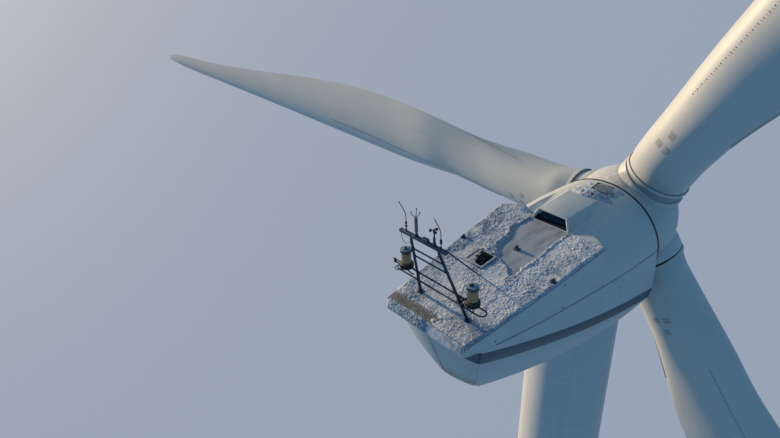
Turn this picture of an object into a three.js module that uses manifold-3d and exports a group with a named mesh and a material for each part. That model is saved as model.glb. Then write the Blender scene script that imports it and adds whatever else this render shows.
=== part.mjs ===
// Wind turbine nacelle with its roof gear, hub, three blades and the top section of its tower.
// Scale model, 1:10. Sizes are written as metres of the full-size machine times M, which gives millimetres.
// World frame: +Z up, the rotor faces -Y, the origin is the centre of the tower section's lower flange face.
// Machine frame: a group at the hub centre, tilted with the shaft. In it x is to the machine's left as seen
// from behind, y runs back from the hub along the shaft, and z is square to the roof.
import * as THREE from 'three';
import { mergeVertices } from 'three/addons/utils/BufferGeometryUtils.js';
import Module from 'manifold-3d';

const wasm = await Module();
wasm.setup();

const M = 100;
const FIT = 0.003;
const deg = THREE.MathUtils.degToRad;

// Driving dimensions of the whole machine
const HUB_HEIGHT = 18.0;
const OVERHANG = 3.037;
const SHAFT_TILT = deg(5.32);
const CONE = deg(4.41);
const BLADE_AZIMUTH = deg(64.4);
const REST_PITCH = 6.4;
const BLADE_TIP = 58.0;
const RIM_Y = 1.765;
const RIM_RADIUS = 2.18;
const SKIN = 0.05;

// Tower
const TOWER_TOP_RADIUS = 1.655;
const TOWER_FOOT_RADIUS = 1.80;
const TOWER_WALL = 0.06;
const TOWER_TOP_Z = HUB_HEIGHT - 2.84;
const TOWER_CANS = 6;
const FLANGE_RADIUS = 1.86;
const FLANGE_HEIGHT = 0.12;
const YAW_FLANGE_HEIGHT = 0.05;
const YAW_NECK_RADIUS = 1.24;
const YAW_NECK_TOP = 0.38;
const YAW_PIN_RADIUS = 0.9;
const YAW_PIN_TOP = 0.95;

// Housing
const ROOF_FRONT_Y = 5.18;
const ROOF_REAR_Y = 10.97;
const ROOF_FRONT_Z = 2.184;
const ROOF_REAR_Z = 2.109;
const DUCT_FOOT_Y = 5.177;
const WALL_END_Y = 10.53;
const LIP_Y = 11.127;
const LIP_Z = 1.871;
const LIP_HALF = 1.493;

// Rotor
const SPINNER_BACK = 1.705;
const COLLAR_FOOT = 1.2;
const COLLAR_RADIUS = 1.24;
const COLLAR_MOUTH_RADIUS = 1.2;
const COLLAR_END = 1.94;
const COLLAR_END_SLOPE = deg(6.16);
const COLLAR_SEAT = 1.7;
const COLLAR_LIP_BORE = 1.15;
const PITCH_PIN_RADIUS = 0.92;
const PITCH_BORE_RADIUS = 0.926;
const SEAL_FOOT = 1.76;
const SEAL_RADIUS = 1.095;
const ROOT_RING_FOOT = 2.15;
const ROOT_RING_TOP = 2.33;
const ROOT_RADIUS = 1.2;
const SHAFT_RADIUS = 0.49;
const SHAFT_END = 3.9;

// Mast on the roof
const MAST_FOOT_HALF = 0.926;
const MAST_FOOT_Y = 10.172;
const MAST_TOP_HALF = 0.498;
const MAST_TOP_Y = 10.645;
const MAST_TOP_Z = 4.625;
const LEG_RADIUS = 0.026;
const RUNG_RADIUS = 0.018;
const RUNG_HEIGHTS = [4.16, 3.86];
const BEAM_Y = 10.635;
const BEAM_Z = 4.68;
const BEAM_SIZE = 0.09;
const RAIL_RADIUS = 0.018;
const RAIL_Y = 10.29;
const RAIL_Z = 2.88;
const RAIL_HALF_WIDTH = 0.125;
const RAIL_HALF_LENGTH = 1.66;
const STAY_RADIUS = 0.02;
const LIGHT_X = 1.26;
const LIGHT_Y = 10.32;
const LIGHT_Z = 3.07;

const paint = (name, color, roughness, metalness) => {
  const material = new THREE.MeshStandardMaterial({ color, roughness, metalness });
  material.name = name;
  return material;
};
const FINISH = {
  shell: ['shell_paint', 0xd9d8d2, 0.45, 0.0],
  band: ['band_paint', 0x3c5c78, 0.45, 0.0],
  tower: ['tower_paint', 0xd6d5cf, 0.4, 0.0],
  blade: ['blade_paint', 0xdcdad3, 0.4, 0.0],
  steel: ['galvanised_steel', 0x6f7f86, 0.5, 0.8],
  dark: ['black_plastic', 0x14161a, 0.5, 0.0],
  lens: ['ribbed_lens', 0xd8b890, 0.25, 0.0],
  cast: ['cast_frame', 0x5d6468, 0.6, 0.5],
  hatch: ['dark_hatch', 0x0c0e12, 0.2, 0.0],
  grey: ['grey_panel', 0x8b9094, 0.6, 0.0],
};

// A point of the machine frame from its offset to the right, its distance behind the hub and its height
const at = (right, back, up) => new THREE.Vector3(-right * M, back * M, up * M);

const signedVolume = (positions, indices) => {
  let volume = 0;
  const a = new THREE.Vector3();
  const b = new THREE.Vector3();
  const c = new THREE.Vector3();
  for (let i = 0; i < indices.length; i += 3) {
    a.fromArray(positions, indices[i] * 3);
    b.fromArray(positions, indices[i + 1] * 3);
    c.fromArray(positions, indices[i + 2] * 3);
    volume += a.dot(b.cross(c)) / 6;
  }
  return volume;
};

const fromPoints = (points, faces) => {
  const positions = points.flatMap((point) => [point.x, point.y, point.z]);
  let indices = faces.flat();
  if (signedVolume(positions, indices) < 0) {
    indices = faces.flatMap(([a, b, c]) => [a, c, b]);
  }
  const geometry = new THREE.BufferGeometry();
  geometry.setAttribute('position', new THREE.Float32BufferAttribute(positions, 3));
  geometry.setIndex(indices);
  return geometry;
};

// A closed skin: a grid of outer points and the same grid moved inward by a function of each point
const skin = (rows, inward) => {
  const high = rows.length;
  const wide = rows[0].length;
  const outer = rows.flat();
  const inner = outer.map((point) => point.clone().add(inward(point)));
  const points = outer.concat(inner);
  const shift = outer.length;
  const faces = [];
  const id = (row, column) => row * wide + column;
  const quad = (a, b, c, d) => faces.push([a, b, c], [a, c, d]);
  for (let row = 0; row < high - 1; row += 1) {
    for (let column = 0; column < wide - 1; column += 1) {
      const corners = [id(row, column), id(row, column + 1), id(row + 1, column + 1), id(row + 1, column)];
      quad(...corners);
      quad(...corners.map((corner) => corner + shift).reverse());
    }
  }
  const rim = [];
  for (let column = 0; column < wide - 1; column += 1) rim.push(id(0, column));
  for (let row = 0; row < high - 1; row += 1) rim.push(id(row, wide - 1));
  for (let column = wide - 1; column > 0; column -= 1) rim.push(id(high - 1, column));
  for (let row = high - 1; row > 0; row -= 1) rim.push(id(row, 0));
  rim.forEach((from, index) => {
    const to = rim[(index + 1) % rim.length];
    quad(to, from, from + shift, to + shift);
  });
  return fromPoints(points, faces);
};

// A closed loft through rings that all hold the same number of points
const loft = (rings) => {
  const count = rings[0].length;
  const points = rings.flat();
  const faces = [];
  for (let ring = 0; ring < rings.length - 1; ring += 1) {
    for (let i = 0; i < count; i += 1) {
      const a = ring * count + i;
      const b = ring * count + ((i + 1) % count);
      faces.push([a, b, b + count], [a, b + count, a + count]);
    }
  }
  const last = (rings.length - 1) * count;
  for (let i = 1; i < count - 1; i += 1) {
    faces.push([0, i + 1, i], [last, last + i, last + i + 1]);
  }
  return fromPoints(points, faces);
};

const toManifold = (geometry) => {
  const bare = geometry.clone();
  bare.deleteAttribute('normal');
  bare.deleteAttribute('uv');
  const merged = mergeVertices(bare, 1e-4);
  return new wasm.Manifold(new wasm.Mesh({
    numProp: 3,
    vertProperties: Float32Array.from(merged.attributes.position.array),
    triVerts: Uint32Array.from(merged.index.array),
  }));
};

const fromManifold = (solid) => {
  const mesh = solid.getMesh();
  const geometry = new THREE.BufferGeometry();
  geometry.setAttribute('position', new THREE.BufferAttribute(Float32Array.from(mesh.vertProperties), 3));
  geometry.setIndex(new THREE.BufferAttribute(Uint32Array.from(mesh.triVerts), 1));
  return geometry;
};

const join = (...geometries) => fromManifold(
  geometries.map(toManifold).reduce((total, next) => total.add(next)));
const cut = (body, ...tools) => fromManifold(
  tools.map(toManifold).reduce((total, next) => total.subtract(next), toManifold(body)));

const block = (right, back, up, wide, long, high) => {
  const geometry = new THREE.BoxGeometry(wide * M, long * M, high * M);
  const centre = at(right, back, up);
  return geometry.translate(centre.x, centre.y, centre.z);
};

// A round bar between two points of the machine frame
const bar = (from, to, radius, sides = 12, radiusTo = radius) => {
  const span = to.clone().sub(from);
  const geometry = new THREE.CylinderGeometry(radiusTo * M, radius * M, span.length(), sides);
  const turn = new THREE.Quaternion().setFromUnitVectors(new THREE.Vector3(0, 1, 0), span.normalize());
  const middle = from.clone().add(to).multiplyScalar(0.5);
  return geometry.applyQuaternion(turn).translate(middle.x, middle.y, middle.z);
};

// A body turned about its own z axis from a profile of radius and height pairs in metres
const turned = (profile, sides = 48) => new THREE.LatheGeometry(
  profile.map(([radius, height]) => new THREE.Vector2(radius * M, height * M)), sides).rotateX(Math.PI / 2);

const sweep = (points, radius, steps, sides = 8) => {
  const path = new THREE.CatmullRomCurve3(points, false, 'centripetal');
  const section = [];
  for (let i = 0; i < sides; i += 1) {
    const angle = (i / sides) * Math.PI * 2;
    section.push(new THREE.Vector2(Math.cos(angle) * radius * M, Math.sin(angle) * radius * M));
  }
  return new THREE.ExtrudeGeometry(new THREE.Shape(section), { steps, extrudePath: path });
};

// A round tube along a closed loop that lies flat at one height
const flatRing = (points, radius, sides = 8) => {
  const count = points.length;
  const ringPoints = [];
  points.forEach((point, i) => {
    const along = points[(i + 1) % count].clone().sub(points[(i + count - 1) % count]).normalize();
    const across = new THREE.Vector3(along.y, -along.x, 0);
    for (let k = 0; k < sides; k += 1) {
      const angle = (k / sides) * Math.PI * 2;
      ringPoints.push(point.clone().addScaledVector(across, Math.cos(angle) * radius * M)
        .add(new THREE.Vector3(0, 0, Math.sin(angle) * radius * M)));
    }
  });
  const faces = [];
  for (let i = 0; i < count; i += 1) {
    for (let k = 0; k < sides; k += 1) {
      const a = i * sides + k;
      const b = i * sides + ((k + 1) % sides);
      const c = ((i + 1) % count) * sides + k;
      const d = ((i + 1) % count) * sides + ((k + 1) % sides);
      faces.push([a, b, d], [a, d, c]);
    }
  }
  return fromPoints(ringPoints, faces);
};

const addMesh = (group, name, geometry, finish) => {
  const mesh = new THREE.Mesh(geometry, paint(...FINISH[finish]));
  mesh.name = name;
  group.add(mesh);
  return mesh;
};

const mix = THREE.MathUtils.lerp;
const smooth = (value, low, high) => THREE.MathUtils.smoothstep(value, low, high);
const range = (count, from, to) => Array.from({ length: count }, (_, i) => mix(from, to, i / (count - 1)));
const SIDES = [['right', 1], ['left', -1]];

// Lines that run along the housing, as half width and height at a distance behind the hub
const behindRim = (y) => y - RIM_Y;
const halfWidth = (y) => 2.165 - 0.014 * behindRim(y) - 0.0057 * behindRim(y) ** 2;
const roofHeight = (y) => mix(ROOF_FRONT_Z, ROOF_REAR_Z, (y - ROOF_FRONT_Y) / (ROOF_REAR_Y - ROOF_FRONT_Y));
const seam = (y) => [halfWidth(y) + 0.02, 0.19 + 0.128 * behindRim(y) + 0.0047 * behindRim(y) ** 2];
const bandTop = (y) => [halfWidth(y) + 0.025, -1.55 + 0.262 * behindRim(y) + 0.0114 * behindRim(y) ** 2];
const bandFoot = (y) => [halfWidth(y) - 0.05, -2.04 + 0.265 * behindRim(y) + 0.0112 * behindRim(y) ** 2];
const chine = (y) => [
  halfWidth(y) - 0.3 - 0.54 * (behindRim(y) / 8.25) ** 2,
  -2.5 + 0.085 * behindRim(y) + 0.014 * behindRim(y) ** 2,
];

const buildTower = (world) => {
  const radiusAt = (z) => mix(TOWER_FOOT_RADIUS, TOWER_TOP_RADIUS, z / TOWER_TOP_Z);
  const bottom = FLANGE_HEIGHT + FIT;
  const levels = range(TOWER_CANS + 1, bottom, TOWER_TOP_Z);
  const outside = levels.map((z) => [radiusAt(z), z]);
  const inside = levels.map((z) => [radiusAt(z) - TOWER_WALL, z]).reverse();
  addMesh(world, 'tower_section', turned([...outside, ...inside, outside[0]]), 'tower');
  addMesh(world, 'tower_base_flange', turned([
    [0, 0], [FLANGE_RADIUS, 0], [FLANGE_RADIUS, FLANGE_HEIGHT], [0, FLANGE_HEIGHT],
  ]), 'steel');
  const top = TOWER_TOP_Z + FIT;
  const flangeTop = top + YAW_FLANGE_HEIGHT;
  addMesh(world, 'yaw_ring', turned([
    [0, top], [TOWER_TOP_RADIUS - 0.02, top], [TOWER_TOP_RADIUS - 0.02, flangeTop],
    [YAW_NECK_RADIUS, flangeTop], [YAW_NECK_RADIUS, top + YAW_NECK_TOP], [YAW_PIN_RADIUS, top + YAW_NECK_TOP],
    [YAW_PIN_RADIUS, top + YAW_PIN_TOP], [0, top + YAW_PIN_TOP],
  ]), 'cast');
};

// Geometry made in the world frame, brought into the machine frame
const machine = new THREE.Group();
machine.position.set(0, -OVERHANG * M, HUB_HEIGHT * M);
machine.rotation.x = -SHAFT_TILT;
machine.updateMatrix();
const intoMachine = (geometry) => geometry.applyMatrix4(machine.matrix.clone().invert());
const uprightDrum = (radius, low, high, sides = 48) => intoMachine(
  turned([[0, low], [radius, low], [radius, high], [0, high]], sides));

const buildFrame = (group) => {
  const pinTop = TOWER_TOP_Z + FIT + YAW_PIN_TOP;
  const drumFoot = TOWER_TOP_Z + FIT + YAW_NECK_TOP + 0.055;
  const beam = block(0, 4.35, -1.05, 1.9, 4.96, 0.5);
  const drum = uprightDrum(1.15, drumFoot, HUB_HEIGHT - 1.35);
  const bore = uprightDrum(YAW_PIN_RADIUS + 0.006, drumFoot - 0.1, pinTop + 0.03);
  addMesh(group, 'bedplate', cut(join(beam, drum), bore), 'cast');
  const housing = block(0, 2.9, -0.035, 1.7, 1.5, 1.524);
  const shaftHole = bar(at(0, 1, 0), at(0, 4, 0), SHAFT_RADIUS + 0.006, 48);
  addMesh(group, 'main_bearing', cut(housing, shaftHole), 'cast');
};

// The rear wall's outer face: half width, distance back and height at its edge, then distance back and height
// on the middle line, from under the lip down to the keel
const REAR_ROWS = [
  [1.42, 11.03, 1.83, 11.03, 1.83],
  [1.58, 10.53, 1.6, 10.93, 1.58],
  [1.55, 10.55, 1.16, 10.8, 1.1],
  [1.33, 10.43, 0.46, 10.62, 0.35],
  [1.08, 10.24, -0.2, 10.48, -0.12],
  [0.81, 10.02, -0.77, 10.36, -0.5],
];
const REAR_SHARES = range(9, -1, 1);
const rearRows = (shares, shift) => REAR_ROWS.map(([half, yEdge, zEdge, yMid, zMid]) => shares.map((share) => {
  const bow = 1 - share * share;
  return at(share * half, mix(yEdge, yMid, bow) + shift, mix(zEdge, zMid, bow));
}));

// Everything behind the rear wall's inner face, to trim the panels that end against it
const rearCutter = () => {
  const rows = rearRows([-1.15, ...REAR_SHARES, 1.15], -SKIN - 2 * FIT);
  const lowest = rows[rows.length - 1].map((point) => point.clone().add(at(0, -0.45, -0.6)));
  return skin([...rows, lowest], () => new THREE.Vector3(0, 2 * M, 0));
};

const buildRearWall = (group) => {
  addMesh(group, 'rear_wall', skin(rearRows(REAR_SHARES, 0), () => new THREE.Vector3(0, -SKIN * M, 0)), 'shell');
};

const inwardX = (right) => new THREE.Vector3(right * SKIN * M, 0, 0);

// A side panel between two lines of the housing, with the gap that its edges keep
const sidePanel = (side, upper, lower, stations, ends) => {
  const raise = (line, y, by) => {
    const [half, height] = line(y);
    return at(side * half, y, height + by);
  };
  const rows = [stations.map((y) => raise(upper, y, -ends[0])), stations.map((y) => raise(lower, y, ends[1]))];
  return skin(rows, () => inwardX(side));
};

const buildSides = (group) => {
  const stations = range(10, RIM_Y, WALL_END_Y + 0.02);
  const trimmed = (geometry) => cut(geometry, rearCutter());
  SIDES.forEach(([name, side]) => {
    const upperStations = [...range(7, ROOF_FRONT_Y + FIT, WALL_END_Y), ROOF_REAR_Y - FIT];
    const top = upperStations.map((y) => at(side * halfWidth(y), y, roofHeight(y) - SKIN - FIT));
    const foot = upperStations.map((y) => {
      const [half, height] = seam(y);
      if (y > WALL_END_Y) return at(side * LIP_HALF, LIP_Y - 0.13, LIP_Z + 0.015);
      return at(side * half, y, height + FIT);
    });
    addMesh(group, `side_upper_${name}`, skin([top, foot], () => inwardX(side)), 'shell');
    addMesh(group, `side_middle_${name}`, trimmed(sidePanel(side, seam, bandTop, stations, [FIT, FIT])), 'shell');
    addMesh(group, `side_band_${name}`, trimmed(sidePanel(side, bandTop, bandFoot, stations, [0, FIT])), 'band');
    const lowTop = stations.map((y) => at(side * bandFoot(y)[0], y, bandFoot(y)[1]));
    const lowFoot = stations.map((y, i) => {
      const yFoot = mix(y, y - 0.5, i / (stations.length - 1));
      return at(side * chine(yFoot)[0], yFoot, chine(yFoot)[1]);
    });
    const lowMid = lowTop.map((point, i) => {
      const share = i / (stations.length - 1);
      const middle = point.clone().lerp(lowFoot[i], 0.37);
      return middle.add(at(side * 0.045 * share, 0.08 * share, 0));
    });
    const low = skin([lowTop, lowMid, lowFoot], () => inwardX(side));
    addMesh(group, `side_lower_${name}`, trimmed(low), 'shell');
  });
};

const buildFloor = (group) => {
  const stations = range(10, RIM_Y + FIT, WALL_END_Y + 0.02);
  const rows = stations.map((y, i) => {
    const yEdge = mix(y, y - 0.5, i / (stations.length - 1));
    const [half, height] = chine(yEdge);
    const yKeel = mix(y, y - 0.2, i / (stations.length - 1));
    const drop = mix(-0.06, 0.25, smooth(y, 7, 10.5));
    return range(7, -1, 1).map((share) => {
      const bow = 1 - share * share;
      return at(share * (half - SKIN - 0.006), mix(yEdge, yKeel, bow), height + drop * bow);
    });
  });
  const pan = skin(rows, () => new THREE.Vector3(0, 0, SKIN * M));
  const opening = uprightDrum(YAW_NECK_RADIUS + 0.08, HUB_HEIGHT - 4, HUB_HEIGHT - 1);
  addMesh(group, 'floor_pan', cut(pan, opening, rearCutter()), 'shell');
};

const buildRoof = (group) => {
  const rows = range(9, ROOF_FRONT_Y, ROOF_REAR_Y - FIT).map((y) => range(9, -1, 1).map(
    (share) => at(share * halfWidth(y), y, roofHeight(y))));
  addMesh(group, 'roof_panel', skin(rows, () => new THREE.Vector3(0, 0, -SKIN * M)), 'shell');
  const profile = [[ROOF_REAR_Y, ROOF_REAR_Z], [LIP_Y, LIP_Z], [LIP_Y - 0.07, LIP_Z - 0.02],
    [ROOF_REAR_Y + 0.025, ROOF_REAR_Z - 0.09]];
  const ends = [-1, 1].map((side) => profile.map(([y, z]) => at(side * LIP_HALF, y, z)));
  addMesh(group, 'rear_lip', loft(ends), 'shell');
};

// The duct that stands on the cowl: its outer form, grown by a gap when it cuts the cowl.
// Its front face slopes down into the dome and its mouth slopes down to the roof.
const ductForm = (grow) => {
  const ring = (half, topY, top, footHalf, footY, foot) => [
    at(-footHalf - 3 * grow, footY, foot - grow), at(-half - grow, topY, top + grow),
    at(half + grow, topY, top + grow), at(footHalf + 3 * grow, footY, foot - grow),
  ];
  return loft([
    ring(0.565, 3.3 - grow, 2.385, 0.8, 2.9 - 3 * grow, 2.2),
    ring(0.542, 5.0 + grow, 2.565, 0.73, DUCT_FOOT_Y + grow, 2.1),
  ]);
};

const COWL_POINTS = 37;
const DOME_POWER = 2.3;
const EDGE_POWER = 16;
const EDGE_HALF = 2.06;
const CREST_RISE = 0.183;
const CREST_LENGTH = 0.25;
const STEP_LENGTH = 0.12;
const TROUGH_DEPTH = 0.19;

// How far the dome lies lower on both sides of the duct, so that the duct's walls stand free
const trough = (right, y) => (
  TROUGH_DEPTH * (1 - smooth(Math.abs(right), 0.85, 1.2)) * smooth(y, 3.3, 4.1));

// The cowl's last three rows: the foot of the step, the crest that stands proud and the edge on the roof
const cowlEndRows = () => {
  const angles = range(COWL_POINTS, 0, Math.PI);
  const across = angles.map((angle) => Math.sign(Math.cos(angle)) * Math.abs(Math.cos(angle)) ** (2 / DOME_POWER));
  const rise = (share, power) => Math.max(0, 1 - Math.abs(share) ** power) ** (1 / power);
  const height = (y, crown, share) => {
    const foot = seam(y)[1] + FIT;
    return foot + (crown - foot) * share;
  };
  const crest = across.map((side) => THREE.MathUtils.clamp((2.08 - Math.abs(side) * EDGE_HALF) / 0.89, 0, 1));
  const crestY = crest.map((share) => 5.15 - CREST_LENGTH * share);
  const foot = across.map((side, i) => {
    const y = crestY[i] - STEP_LENGTH;
    return at(side * 2.09, y, height(y, 2.44, rise(side, DOME_POWER)) - trough(side * 2.09, y));
  });
  const top = across.map((side, i) => {
    const level = height(crestY[i], ROOF_FRONT_Z + 0.01, rise(side, EDGE_POWER));
    const lowered = CREST_RISE * crest[i] - trough(side * EDGE_HALF, crestY[i]);
    return at(side * EDGE_HALF, crestY[i], level + Math.max(0, lowered));
  });
  const edgeY = ROOF_FRONT_Y - FIT;
  const edge = across.map((side) => at(
    side * EDGE_HALF, edgeY, height(edgeY, ROOF_FRONT_Z + 0.01, rise(side, EDGE_POWER))));
  return [foot, top, edge];
};

const buildCowl = (group) => {
  // distance back, height of the crown, half width and squareness of each section
  const sections = [
    [RIM_Y, 2.18, 2.18, 2.0],
    [2.2, 2.26, 2.185, 2.05],
    [2.75, 2.33, 2.18, 2.07],
    [3.4, 2.39, 2.165, 2.12],
    [4.1, 2.43, 2.14, 2.2],
    [4.7, 2.44, 2.11, DOME_POWER],
  ];
  const dome = sections.map(([y, crown, half, power]) => {
    const seamHeight = seam(y)[1] + FIT;
    const centre = mix(0, seamHeight, smooth(y, RIM_Y, RIM_Y + 1.6));
    const start = Math.asin(((seamHeight - centre) / (crown - centre)) ** (power / 2));
    return range(COWL_POINTS, start, Math.PI - start).map((angle) => {
      const across = Math.sign(Math.cos(angle)) * Math.abs(Math.cos(angle)) ** (2 / power);
      const rise = Math.sin(angle) ** (2 / power);
      return at(half * across, y, centre + (crown - centre) * rise - trough(half * across, y));
    });
  });
  const shell = skin([...dome, ...cowlEndRows()], (point) => new THREE.Vector3(
    -point.x, 0, (seam(point.y / M)[1] + FIT) * M - point.z).setLength(SKIN * M));
  addMesh(group, 'front_cowl', cut(shell, ductForm(FIT)), 'shell');
  const cavity = loft([
    [at(-0.5, 4.2, 2.2), at(-0.46, 4.2, 2.44), at(0.46, 4.2, 2.44), at(0.5, 4.2, 2.2)],
    [at(-0.64, 5.3, 2.21), at(-0.5, 5.3, 2.545), at(0.5, 5.3, 2.545), at(0.64, 5.3, 2.21)],
  ]);
  addMesh(group, 'cooler_duct', cut(ductForm(0), cavity), 'shell');
  const slats = [2.25, 2.315, 2.38].map((z) => block(0, 4.25, z, 0.9, 0.06, 0.02));
  const frame = block(0, 4.22, 2.315, 0.02, 0.034, 0.19);
  addMesh(group, 'duct_louvre', join(...slats, frame), 'steel');
};

const buildFrontWall = (group) => {
  const outline = new THREE.Shape();
  const half = RIM_RADIUS - SKIN - 0.006;
  outline.absarc(0, 0, half, 0.09, Math.PI - 0.09, false);
  const low = [[-2.1, -1.55], [-1.98, -2.03], [-1.78, -2.42], [1.78, -2.42], [1.98, -2.03], [2.1, -1.55]];
  low.forEach(([x, z]) => outline.lineTo(x, z));
  const points = outline.getPoints(24).map((point) => point.multiplyScalar(M));
  const plate = new THREE.ExtrudeGeometry(new THREE.Shape(points), { depth: 0.06 * M, bevelEnabled: false });
  plate.rotateX(Math.PI / 2).translate(0, (RIM_Y + 0.1) * M, 0);
  const hole = bar(at(0, 1, 0), at(0, 3, 0), SHAFT_RADIUS + 0.06, 48);
  addMesh(group, 'front_wall', cut(plate, hole), 'shell');
};

const buildHatches = (group) => {
  const x = -0.605;
  const y = 7.91;
  const foot = roofHeight(y) + 0.012;
  const curb = cut(block(x, y, foot + 0.035, 0.76, 0.74, 0.07), block(x, y, foot + 0.05, 0.64, 0.62, 0.2));
  addMesh(group, 'hatch_curb', curb, 'shell');
  addMesh(group, 'hatch_lid', block(x, y, foot + 0.03, 0.634, 0.614, 0.05), 'hatch');
  addMesh(group, 'cowl_hatch', block(0.23, 2.4, 2.33, 0.62, 0.44, 0.03), 'grey');
};

const buildLugs = (group) => {
  [['middle', -0.03, 6.83], ['left', -1.74, 7.42], ['right', 1.74, 7.43]].forEach(([name, x, y]) => {
    const foot = roofHeight(y) + 0.005;
    const plate = block(x, y, foot + 0.015, 0.2, 0.16, 0.03);
    const ear = block(x, y, foot + 0.08, 0.05, 0.11, 0.12);
    addMesh(group, `lifting_lug_${name}`, join(plate, ear), 'steel');
  });
};

// A point moved from another one by distances along the world's level and upright lines
const upright = (base, right, rear, height) => base.clone().add(at(
  right,
  rear * Math.cos(SHAFT_TILT) - height * Math.sin(SHAFT_TILT),
  rear * Math.sin(SHAFT_TILT) + height * Math.cos(SHAFT_TILT)));

const legPoint = (side, z) => {
  const share = (z - ROOF_REAR_Z) / (MAST_TOP_Z - ROOF_REAR_Z);
  return at(side * mix(MAST_FOOT_HALF, MAST_TOP_HALF, share), mix(MAST_FOOT_Y, MAST_TOP_Y, share), z);
};

const buildMast = (group) => {
  const footZ = roofHeight(MAST_FOOT_Y) + 0.006;
  SIDES.forEach(([name, side]) => {
    const leg = bar(legPoint(side, footZ + 0.01), legPoint(side, MAST_TOP_Z), LEG_RADIUS);
    const shoe = block(side * MAST_FOOT_HALF, MAST_FOOT_Y, footZ + 0.02, 0.18, 0.2, 0.03);
    addMesh(group, `mast_leg_${name}`, join(leg, shoe), 'steel');
  });
  const spread = (grow) => SIDES.map(([, side]) => bar(
    legPoint(side, footZ), legPoint(side, MAST_TOP_Z + 0.05), LEG_RADIUS + grow));
  const beam = block(-0.065, BEAM_Y, BEAM_Z, 1.71, BEAM_SIZE, BEAM_SIZE);
  const junctionBox = block(0.05, BEAM_Y, BEAM_Z + 0.075, 0.2, 0.1, 0.08);
  addMesh(group, 'mast_beam', join(beam, junctionBox), 'steel');
  const rungs = RUNG_HEIGHTS.map(
    (z) => cut(bar(legPoint(-1, z), legPoint(1, z), RUNG_RADIUS), ...spread(FIT)));
  addMesh(group, 'mast_rung_upper', keepMiddle(rungs[0]), 'steel');
  addMesh(group, 'mast_rung_lower', keepMiddle(rungs[1]), 'steel');

  const bend = RAIL_HALF_LENGTH - RAIL_HALF_WIDTH;
  const loop = [-1, 1].flatMap((side) => range(9, -90, 90).map((angle) => {
    const turn = deg(angle) * -side;
    return at(
      side * (bend + RAIL_HALF_WIDTH * Math.cos(turn)), RAIL_Y + RAIL_HALF_WIDTH * Math.sin(turn), RAIL_Z);
  }));
  const tube = flatRing(loop, RAIL_RADIUS);
  const seats = [-1, 1].flatMap((side) => {
    const lamp = at(side * LIGHT_X, LIGHT_Y, LIGHT_Z);
    const post = bar(upright(lamp, 0, 0, -0.19), upright(lamp, 0, 0, -0.1 - FIT), 0.1, 24);
    return [block(side * LIGHT_X, RAIL_Y, RAIL_Z, 0.16, 0.27, 0.03), post];
  });
  const clamps = SIDES.map(([, side]) => {
    const centre = legPoint(side, RAIL_Z);
    return block(-centre.x / M, RAIL_Y, RAIL_Z, 0.12, 0.27, 0.04);
  });
  addMesh(group, 'mast_rail_loop', cut(join(tube, ...seats, ...clamps), ...spread(FIT)), 'steel');
  const stayFoot = at(-0.06, 8.54, roofHeight(8.54) + 0.03);
  const stayTop = at(0.765, BEAM_Y - BEAM_SIZE / 2 - STAY_RADIUS - FIT, BEAM_Z);
  addMesh(group, 'mast_stay', bar(stayFoot, stayTop, STAY_RADIUS), 'steel');
};

// The largest piece of a solid that a cut has left in several
const keepMiddle = (geometry) => {
  const pieces = toManifold(geometry).decompose();
  pieces.sort((a, b) => b.volume() - a.volume());
  return fromManifold(pieces[0]);
};

// Rods, posts and cups stand upright in the world, above a line along the beam
const SENSOR_Z = 4.7;
const SENSOR_FOOT = 0.03;
const ROD_RADIUS = 0.012;
const PROBE_X = -0.29;
const CUP_X = 0.36;
const CUP_HEIGHT = 0.47;

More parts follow.
